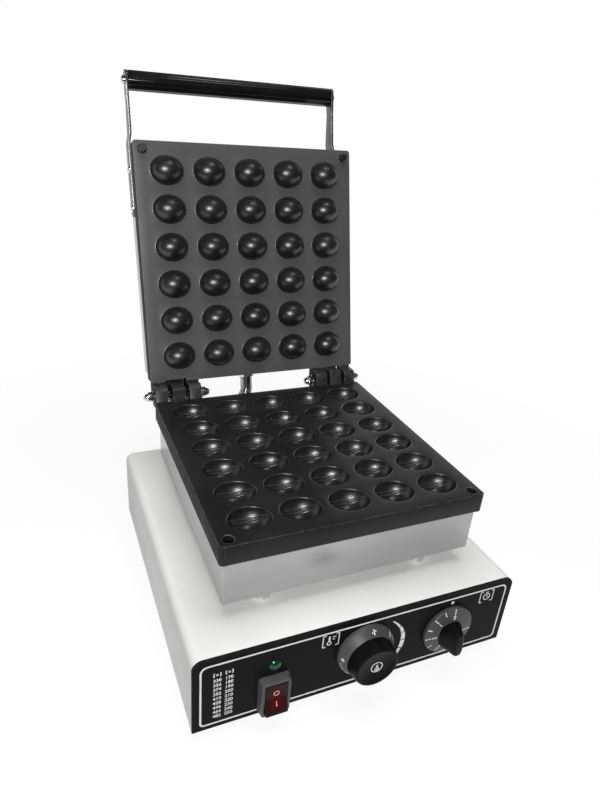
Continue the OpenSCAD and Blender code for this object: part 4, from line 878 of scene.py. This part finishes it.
def rounded_loop(w, h, r_top, r_low, steps=8):
    return (arc(w / 2 - r_top, h / 2 - r_top, r_top, 0, 90, steps) + arc(r_top - w / 2, h / 2 - r_top, r_top, 90, 180,
                                                                         steps)
            + arc(r_low - w / 2, r_low - h / 2, r_low, 180, 270, steps) + arc(w / 2 - r_low, r_low - h / 2, r_low, 270,
                                                                              360, steps))


def band(outer, inner):
    """A flat band between two outlines of as many points."""
    bm = bmesh.new()
    loops = []
    for outline in (outer, inner):
        verts = [bm.verts.new((x, y, 0)) for x, y in outline]
        loops += [bm.edges.new((a, b)) for a, b in zip(verts, verts[1:] + verts[:1])]
    bmesh.ops.bridge_loops(bm, edges=loops)
    return bm


def raised(bm):
    """Flat print given its thickness."""
    pulled = bmesh.ops.extrude_face_region(bm, geom=bm.faces[:])
    bmesh.ops.translate(bm, vec=(0, 0, PRINT_T), verts=new_verts(pulled))
    bmesh.ops.recalc_face_normals(bm, faces=bm.faces)
    return bm


def bar(x0, y0, x1, y1, w):
    """A straight printed stroke."""
    run = Vector((x1 - x0, y1 - y0))
    bm = block((run.length, w, PRINT_T), (run.length / 2, 0, PRINT_T / 2))
    return bm, moved(x0, y0) @ Matrix.Rotation(math.atan2(run.y, run.x), 4, "Z")


def ring_band(cx, cy, r, width, start=0, end=360, steps=24):
    """A printed arc, a ring when nothing else is said; width may be (start, end)."""
    w0, w1 = width if isinstance(width, tuple) else (width, width)
    outer = arc(cx, cy, r, start, end, steps)
    shares = [1 - (w0 + (w1 - w0) * k / steps) / r for k in range(steps + 1)]
    inner = [(cx + (x - cx) * share, cy + (y - cy) * share) for (x, y), share in zip(outer, shares)]
    return raised(lofted([[(x, y, 0) for x, y in line] for line in (outer, inner)]))


BORDER_IN_X, BORDER_IN_Z, BORDER_LINE, BORDER_DOWN = 6, 5.25, 1.6, 0.8


def border():
    """The printed line round the panel."""
    w, h = BASE_W - 2 * BORDER_IN_X, BASE_H - 2 * BORDER_IN_Z
    outer, inner = rounded_loop(w, h, 6.5, 4), rounded_loop(w - 2 * BORDER_LINE, h - 2 * BORDER_LINE, 5.2, 3)
    bm = raised(band(outer, inner))
    bmesh.ops.translate(bm, vec=(0, -BORDER_DOWN, 0), verts=bm.verts)
    return bm


def printed_text(words, size, x, y):
    """Plain numbers as thin raised print."""
    curve = bpy.data.curves.new("numbers", "FONT")
    curve.body, curve.size, curve.align_x, curve.align_y = words, size, "CENTER", "CENTER"
    curve.extrude, curve.resolution_u, curve.offset = PRINT_T / 2, 3, BOLD * size
    letters = linked("numbers", curve)
    bpy.context.view_layer.update()
    mesh = letters.evaluated_get(bpy.context.evaluated_depsgraph_get()).to_mesh()
    bm = bmesh.new()
    bm.from_mesh(mesh)
    bpy.data.objects.remove(letters)
    bpy.data.curves.remove(curve)
    bmesh.ops.remove_doubles(bm, verts=bm.verts, dist=1e-4)
    bmesh.ops.translate(bm, vec=(x, y, PRINT_T / 2), verts=bm.verts)
    return bm


# Where the controls are, from the joints of the model
def panel_place(point):
    return point[0] / MM, (point[2] - (panel_low[2] + panel_high[2]) / 2) / MM


thermo_x, thermo_z = panel_place(joints["thermostat_turn"]["pos_m"])
timer_x, timer_z = panel_place(joints["timer_turn"]["pos_m"])
rocker_x, rocker_z = panel_place(joints["rocker_tilt"]["pos_m"])


def bracket(x, y, w, h, side):
    """One printed square bracket."""
    return [bar(x, y - h / 2, x, y + h / 2, BRACKET_LINE), bar(x, y + h / 2, x + side * w, y + h / 2, BRACKET_LINE),
            bar(x, y - h / 2, x + side * w, y - h / 2, BRACKET_LINE)]


# Segments of the heat arc beside the thermostat: start and end in degrees, width at both, in millimetres
ARC_X, ARC_Z, ARC_R = 9.5, -4.7, 30
ARC_PARTS = ((57.4, 34.5, 0.9, 2.2), (32.5, 19, 2.4, 3.1), (17, 0.5, 3.3, 4), (-1.5, -18, 4.1, 3.9),
             (-20, -31.5, 3.5, 2.6))
BRACKET_Y, BRACKET_H, BRACKET_W, BRACKET_LINE = 23.3, 12.6, 14.6, 0.9
THERMOMETER_X, CLOCK_X = -35.5, 124
TIMER_DOT_X, TIMER_DOT_Y, TIMER_DOT_R = 85.4, 27, 1.7
# The table of temperatures: two columns, each from its first number by its step
TABLE_TOP, TABLE_PITCH, TABLE_ROWS, TABLE_SIZE, TABLE_HEAD = 14.4, 5.05, 9, 4.6, 20.6
TABLE_COLUMNS = ((-131.9, 338, 18), (-122.2, 170, 10))


def number_table():
    parts = []
    for x, first, step in TABLE_COLUMNS:
        parts += [printed_text(str(first + step * n), TABLE_SIZE, x,
                               TABLE_TOP - TABLE_PITCH * n) for n in range(TABLE_ROWS)]
        parts += [ring_band(x, TABLE_HEAD, 1, 0.5)]
        parts += bracket(x - 2.8, TABLE_HEAD, 0.8, 3.4, 1) + bracket(x + 2.8, TABLE_HEAD, 0.8, 3.4, -1)
    return parts


def heat_arc():
    """Segments that grow toward the hot end."""
    parts = []
    for start, end, w0, w1 in ARC_PARTS:
        strip = ring_band(0, 0, ARC_R, (w0, w1), start, end, 10)
        for vert in strip.verts:
            vert.co.xy = vert.co.xy * (1 + (w0 + w1) / 4 / ARC_R)
        parts.append((strip, moved(thermo_x + ARC_X, thermo_z + ARC_Z)))
    return parts


def pictograms():
    """A thermometer and a clock, each in square brackets."""
    parts = []
    for x in (THERMOMETER_X, CLOCK_X):
        parts += bracket(x - BRACKET_W / 2, BRACKET_Y, 2.8, BRACKET_H, 1) + bracket(x + BRACKET_W / 2, BRACKET_Y, 2.8,
                                                                                    BRACKET_H, -1)
    x, y = THERMOMETER_X - 1.5, BRACKET_Y
    parts += [ring_band(x, y - 3, 2.2, 0.8), bar(x, y - 1, x, y + 4.6, 1.5), bar(x + 3, y + 3.4, x + 6, y + 3.4, 0.8),
              bar(x + 3, y + 0.8, x + 5, y + 0.8, 0.8)]
    x, y = CLOCK_X, BRACKET_Y - 0.4
    parts += [ring_band(x, y, 4, 0.9), bar(x, y, x, y + 2.8, 0.7), bar(x, y, x + 1.9, y - 0.9, 0.7),
              bar(x - 1.4, y + 5.2, x + 1.4, y + 5.2, 0.8)]
    return parts


def panel_print():
    dot = turned([(0, 0), (TIMER_DOT_R, 0), (TIMER_DOT_R, PRINT_T), (0, PRINT_T)], 24)
    return joined(border(), *number_table(), *heat_arc(), (dot, moved(TIMER_DOT_X, TIMER_DOT_Y)), *pictograms())


piece("print_on_panel", panel_print(), on_panel(0, 0, 0.01), "base", print_white)


# Knobs
SKIRT_RIM, SKIRT_OUT, DRUM_FOOT, DRUM_OUT = 26.6, 4, 22, 11.5


def on_skirt(degrees, side):
    """Place at the rim of the thermostat's conical skirt, its Y up the slope; side is in millimetres."""
    slope = Vector((DRUM_FOOT - SKIRT_RIM, DRUM_OUT - SKIRT_OUT)).normalized()
    rim = Matrix(((0, slope[0], slope[1], SKIRT_RIM), (1, 0, 0, side), (0, slope[1], -slope[0], SKIRT_OUT),
                  (0, 0, 0, 1)))
    return turn(degrees, "Z") @ rim


def thermostat_knob():
    skirt = turned([(4, 0.5), (26.2, 0.5), (SKIRT_RIM, 0.9), (SKIRT_RIM, 3.6), (26.35, SKIRT_OUT), (22.1, 11.3),
                    (21.8, DRUM_OUT),
                    (4, DRUM_OUT)], 96)
    drum = turned([(4, 11), (21.7, 11), (DRUM_FOOT, 11.5), (DRUM_FOOT, 12.6), (21.6, 15), (21, 18.2), (20.4, 21.4),
                   (19.8, 22.9),
                   (18.8, 23.5), (17.2, 23.4), (15.6, 22.6), (14.6, 22.1), (0, 21.8)], 96)
    for face in drum.faces:
        face.material_index = 1
    return joined(skirt, drum)


# Strokes on the thermostat's skirt: angle in degrees, sideways, start and end up the skirt, and width
SKIRT_STROKES = ((85, 0, 2, 6.8, 0.9), (85, -1.6, 3, 4.2, 0.9), (85, 1.6, 4.4, 5.6, 0.9), (40, 0, 1.4, 6.6, 1.1),
                 (177, 0, 2.4, 6, 0.9),
                 (177, -1.3, 3.4, 5, 0.8), (177, 1.3, 3.4, 5, 0.8), (221, 0, 1.2, 6.4, 1),
                 *((degrees, 0, 1.6, 3, 0.8) for degrees in (190, 198, 206)), *((degrees, 0, 2.6, 3.5,
                                                                                 0.6) for degrees in range(0, 31, 5)))


def thermostat_marks():
    """Plain strokes and dots on the skirt, and a ring on the drum's face."""
    parts = []
    for degrees, side, low, high, w in SKIRT_STROKES:
        stroke, place = bar(0, low, 0, high, w)
        parts.append((stroke, on_skirt(degrees, side) @ place))
    ring = joined(ring_band(0, 0, 5.6, 0.9, steps=36), bar(0, -3, 0, 2.6, 1.7), ring_band(0, -2.2, 2.3, 0.8))
    parts.append((ring, moved(0.3, -0.4, 21.95)))
    return joined(*parts)


piece("knob_thermostat", thermostat_knob(), on_panel(thermo_x, thermo_z), "thermostat_dial",
      [skirt_grey, knob_black], ("thermostat_knob",))
piece("marks_on_thermostat", thermostat_marks(), on_panel(thermo_x, thermo_z), "thermostat_dial", print_white)

TICK_FIRST, TICK_STEP, TICK_COUNT, TICK_RIM, TICK_W = 82.2, 26.8, 11, 24.6, 0.9
DIAL_SLOPE, DIAL_RIM, DIAL_R, DIAL_FLAT_R = math.radians(12), 4.2, 25, 10
NUMBER_SIZE, NUMBER_R, PRINT_LIFT = 5.6, 16, 0.03
# Half width, half length, roundness and height of the grip bar's outline, from its foot to its top
BAR_LEVELS = ((12.8, 14.4, 2.3, 3), (12.4, 14.7, 2.4, 7), (10.6, 14.8, 2.7, 10), (7.8, 14.7, 3, 14),
              (5.9, 14.4, 3.2, 18),
              (5.1, 13.8, 3.2, 20), (4.2, 13, 3.2, 20.8), (3, 11.8, 3, 21))
BAR_MIDDLE, BAR_STEPS, BAR_TURN = -2.25, 64, 6


def timer_bar():
    """The grip bar, drawn through its rounded outlines."""
    def rounded(half, power, share):
        return math.copysign(half * abs(share) ** (2 / power), share)
    rows = [[(rounded(a, power, math.cos(t)), BAR_MIDDLE + rounded(b, power, math.sin(t)),
              z) for t in full_turn(BAR_STEPS)]
            for a, b, power, z in BAR_LEVELS]
    bm = lofted(rows, closed=True)
    bmesh.ops.holes_fill(bm, edges=[e for e in bm.edges if len(e.link_faces) == 1])
    bmesh.ops.recalc_face_normals(bm, faces=bm.faces)
    return bm


def timer_knob():
    flat_out = DIAL_RIM + (DIAL_R - DIAL_FLAT_R) * math.tan(DIAL_SLOPE)
    skirt = turned([(4, 0.5), (DIAL_R, 0.5), (25.4, 0.9), (25.4, 3.7), (DIAL_R, DIAL_RIM), (DIAL_FLAT_R, flat_out),
                    (0, flat_out)], 96)
    grip_bar = timer_bar()
    for face in grip_bar.faces:
        face.material_index = 1
    return joined(skirt, (grip_bar, turn(BAR_TURN, "Z")))


def timer_marks():
    """Ticks on the skirt, longer where a number stands."""
    parts = []
    for k in range(TICK_COUNT):
        place = turn(TICK_FIRST + TICK_STEP * k - 90, "Z") @ moved(0, DIAL_R, DIAL_RIM + PRINT_LIFT)
        place = place @ Matrix.Rotation(-DIAL_SLOPE, 4, "X") @ moved(0, -DIAL_R)
        stroke, lay = bar(0, TICK_RIM, 0, 20 if k % 2 else 19, TICK_W)
        parts.append((stroke, place @ lay))
        if k % 2 == 0:
            parts.append((printed_text(str(k // 2), NUMBER_SIZE, 0, NUMBER_R), place))
    return joined(*parts)


piece("knob_timer", timer_knob(), on_panel(timer_x, timer_z), "timer_dial", [skirt_grey, knob_black],
      ("timer_knob",))
piece("marks_on_timer", timer_marks(), on_panel(timer_x, timer_z), "timer_dial", print_white)


# Switch
BEZEL_W, BEZEL_H, BEZEL_OUT, BEZEL_IN = 28, 39, 8, 2
BEZEL_TAPER_X, BEZEL_TAPER_Y, BEZEL_CORNER, BEZEL_WALL, BEZEL_WELL, BEZEL_EDGE = 3.2, 1.6, 3, 2.4, 9, 0.6


def switch_bezel():
    """A tapered frame with a well that the rocker tilts in."""
    bm = block((BEZEL_W, BEZEL_H, BEZEL_OUT + BEZEL_IN), (0, 0, (BEZEL_OUT - BEZEL_IN) / 2))
    for vert in bm.verts:
        if vert.co.z > 0:
            vert.co.x *= (BEZEL_W - BEZEL_TAPER_X) / BEZEL_W
            vert.co.y *= (BEZEL_H - BEZEL_TAPER_Y) / BEZEL_H
    uprights = [e for e in bm.edges if abs(e.verts[0].co.z - e.verts[1].co.z) > BEZEL_OUT / 2]
    bevel(bm, uprights, BEZEL_CORNER, 5)
    front = max(bm.faces, key=lambda f: f.calc_center_median().z)
    bmesh.ops.inset_region(bm, faces=[front], thickness=BEZEL_WALL)
    pulled = bmesh.ops.extrude_face_region(bm, geom=[front])
    verts = new_verts(pulled)
    bmesh.ops.translate(bm, vec=(0, 0, -BEZEL_WELL), verts=verts)
    if front.is_valid:
        bmesh.ops.delete(bm, geom=[front], context="FACES_ONLY")
    bmesh.ops.recalc_face_normals(bm, faces=bm.faces)
    bevel(bm, [e for e in sharp_edges(bm) if min(v.co.z for v in e.verts) > 3], BEZEL_EDGE, 3)
    return bm


piece("switch_frame", switch_bezel(), on_panel(rocker_x, rocker_z), "base", switch_black,
      ("rocker_housing",))


ROCKER_HALF, ROCKER_FACE, ROCKER_DEEP, ROCKER_W, ROCKER_EDGE = 16, 2.5, 7, 19.6, 0.7
ROCKER_LEAN, VALLEY_HALF, VALLEY_FILL = 9, 0.8, 0.12
WINDOW_CUT, WINDOW_IN, WINDOW_SUNK = 12.8, 3.8, 0.25
MARK_Y, MARK_OUT, MARK_LINE = 5.3, 3.2, 0.75


def rocker():
    """Rocker in its own frame: pivot at the origin, two faces meeting in a shallow valley, a red window over both."""
    tilt = math.tan(math.radians(ROCKER_LEAN))
    half = [(ROCKER_HALF - 0.4, -ROCKER_DEEP), (ROCKER_HALF, -1), (ROCKER_HALF - 0.3,
                                                                   ROCKER_FACE + ROCKER_HALF * tilt - 0.6),
            (ROCKER_HALF - 1.2, ROCKER_FACE + (ROCKER_HALF - 1.2) * tilt),
            (WINDOW_CUT, ROCKER_FACE + WINDOW_CUT * tilt),
            (VALLEY_HALF, ROCKER_FACE + VALLEY_FILL)]
    body = extruded(half + [(0, ROCKER_FACE)] + [(-y, z) for y, z in reversed(half)], ROCKER_W)
    bmesh.ops.transform(body, matrix=moved(-ROCKER_W / 2) @ TO_SIDE, verts=body.verts)
    bevel(body, sharp_edges(body, math.radians(50)), ROCKER_EDGE, 3)
    window = [f for f in body.faces if f.normal.z > 0.9 and f.calc_center_median().z > 2
              and abs(f.calc_center_median().y) < WINDOW_CUT and f.calc_area() > 5]
    bmesh.ops.inset_region(body, faces=window, thickness=WINDOW_IN, depth=-WINDOW_SUNK)
    for face in window:
        face.material_index = 1
    return body


def rocker_marks():
    """O and I, each on its half of the rocker."""
    stroke, lay = bar(0, -2.4, 0, 2.4, 0.8)
    return joined((ring_band(0, 0, 2.6, MARK_LINE), moved(0, MARK_Y, MARK_OUT) @ turn(ROCKER_LEAN, "X")),
                  (stroke, moved(0, -MARK_Y, MARK_OUT) @ turn(-ROCKER_LEAN, "X") @ lay))


ROCKER_OUT = 5
ROCKER = on_panel(rocker_x, rocker_z, ROCKER_OUT) @ turn(-ROCKER_LEAN, "X")
piece("rocker_body", rocker(), ROCKER, "switch_rocker", [rocker_dark, rocker_red], ("rocker",))
piece("marks_on_rocker", rocker_marks(), ROCKER, "switch_rocker", rocker_print)


# Floor, world and lamps
FLOOR_HALF, FLOOR_ALBEDO, FLOOR_NEAR, FLOOR_FAR = 6, 0.16, 0.3, 0.75
SWEEP_END, ROOM_START, ROOM_GREY = -0.4, -0.5, 0.03
WORLD_FILL, WORLD_FRONT, WORLD_BACK, WORLD_LOW = 0.1, 0.08, (-0.15, 0.25), (0.75, 0.35)


def math_node(tree, operation, a, b):
    node = tree.nodes.new("ShaderNodeMath")
    node.operation = operation
    for k, value in enumerate((a, b)):
        if isinstance(value, (int, float)):
            node.inputs[k].default_value = value
        else:
            tree.links.new(value, node.inputs[k])
    return node.outputs["Value"]


def background_rays(tree):
    """1 for rays that show the background: seen directly, in a gloss or through glass."""
    rays = tree.nodes.new("ShaderNodeLightPath").outputs
    seen = math_node(tree, "MAXIMUM", rays["Is Camera Ray"], rays["Is Glossy Ray"])
    return math_node(tree, "MAXIMUM", seen, rays["Is Transmission Ray"])


def pale_floor():
    """A pale sweep that whitens away from the object and ends before the camera, where the grey room begins."""
    bm = bmesh.new()
    bmesh.ops.create_grid(bm, x_segments=1, y_segments=1, size=FLOOR_HALF)
    material = bpy.data.materials.new("floor")
    material.use_nodes = True
    tree = material.node_tree
    shader = tree.nodes["Principled BSDF"]
    shader.inputs["Roughness"].default_value = 0.9
    shader.inputs["Specular IOR Level"].default_value = 0
    place = object_place(tree)
    length = tree.nodes.new("ShaderNodeVectorMath")
    length.operation = "LENGTH"
    tree.links.new(place, length.inputs[0])
    split = tree.nodes.new("ShaderNodeSeparateXYZ")
    tree.links.new(place, split.inputs["Vector"])
    far = mapped_range(tree, length.outputs["Value"], FLOOR_NEAR, FLOOR_FAR, True)
    sweep = mapped_range(tree, split.outputs["Y"], ROOM_START, SWEEP_END, True)
    paper = math_node(tree, "MULTIPLY", math_node(tree, "SUBTRACT", 1, far), FLOOR_ALBEDO)
    grey = math_node(tree, "MAXIMUM", math_node(tree, "MULTIPLY", paper, sweep), ROOM_GREY)
    colour = tree.nodes.new("ShaderNodeCombineColor")
    for channel in ("Red", "Green", "Blue"):
        tree.links.new(grey, colour.inputs[channel])
    tree.links.new(colour.outputs["Color"], shader.inputs["Base Color"])
    glow = math_node(tree, "MULTIPLY", math_node(tree, "SUBTRACT", 1, paper), sweep)
    shader.inputs["Emission Color"].default_value = (1, 1, 1, 1)
    tree.links.new(math_node(tree, "MULTIPLY", glow, background_rays(tree)), shader.inputs["Emission Strength"])
    floor = linked("floor", mesh_of("floor", bm, material))


def white_world():
    """White behind the object, dimmer in front of it and for the light that fills the shadows."""
    world = bpy.data.worlds.new("studio")
    bpy.context.scene.world = world
    world.use_nodes = True
    tree = world.node_tree
    background = tree.nodes["Background"]
    background.inputs["Color"].default_value = (1, 1, 1, 1)
    split = tree.nodes.new("ShaderNodeSeparateXYZ")
    tree.links.new(tree.nodes.new("ShaderNodeTexCoord").outputs["Generated"], split.inputs["Vector"])
    behind = mapped_range(tree, split.outputs["Y"], *WORLD_BACK, True)
    low = mapped_range(tree, split.outputs["Z"], *WORLD_LOW, True)
    backdrop = math_node(tree, "MULTIPLY", behind, low)
    shown = math_node(tree, "MAXIMUM", backdrop, WORLD_FRONT)
    level = tree.nodes.new("ShaderNodeMix")
    level.inputs["A"].default_value = WORLD_FILL
    tree.links.new(background_rays(tree), level.inputs["Factor"])
    tree.links.new(shown, level.inputs["B"])
    tree.links.new(level.outputs["Result"], background.inputs["Strength"])


def lamp(name, place, target, width, height, power, in_gloss=True):
    """A rectangular lamp; one out of gloss lights surfaces without a reflection of its own."""
    data = bpy.data.lights.new(name, "AREA")
    data.shape, data.size, data.size_y, data.energy = "RECTANGLE", width, height, power
    light = linked(name, data)
    light.location = place
    light.rotation_euler = (Vector(target) - Vector(place)).to_track_quat("-Z", "Y").to_euler()
    light.visible_glossy = in_gloss


pale_floor()
white_world()
lamp("key", (-0.56, -1.25, 0.84), (0, 0.1, 0.3), width=0.5, height=0.32, power=18.5)
lamp("spot", (0.3, -0.35, 1.75), (0, 0.05, 0.2), width=0.4, height=0.4, power=2.4)
lamp("top", (-0.05, 0, 1.9), (-0.02, 0, 0.15), width=1.4, height=1.4, power=20.5, in_gloss=False)

# Finishes of the nodes that stay as they are
finishes = (
    (sheet_steel, ("base_bottom_plate", "wire_tube", "lower_element_clamps", "upper_element_clamps", "thermostat_body",
                   "timer_body")),
    (bright_steel, ("bottom_screws", "panel_nuts", "foot_screws", "standoff_pillars", "pillar_bolts", "pillar_nuts",
                    "lower_clamp_screws", "upper_clamp_screws", "hinge_washers_left", "hinge_washers_right",
                    "handle_rod",
                    "arm_screw_nuts", "conduit_locknut_upper", "conduit_locknut_lower", "conduit_connector_upper",
                    "conduit_connector_lower", "thermostat_shaft", "timer_shaft")),
    (dark_steel, ("hinge_bolt_left", "hinge_bolt_right")),
    (panel_black, ("front_panel",)),
    (rubber_black, ("rubber_feet",)),
    (heat_tinted, ("lower_heating_element", "upper_heating_element")),
    (fibre_wool, ("lower_insulation", "upper_insulation")),
    (copper_tube, ("thermostat_bulb", "thermostat_capillary")),
    (moulded_ivory, ("indicator_body", "terminal_block")),
    (lens_green, ("indicator_lens",)),
    (switch_black, ("cable_gland",)),
)
for material, nodes in finishes:
    for node in nodes:
        for material_slot in frame["nodes"][node].material_slots:
            material_slot.material = material

bpy.context.scene.view_settings.view_transform = "Standard"
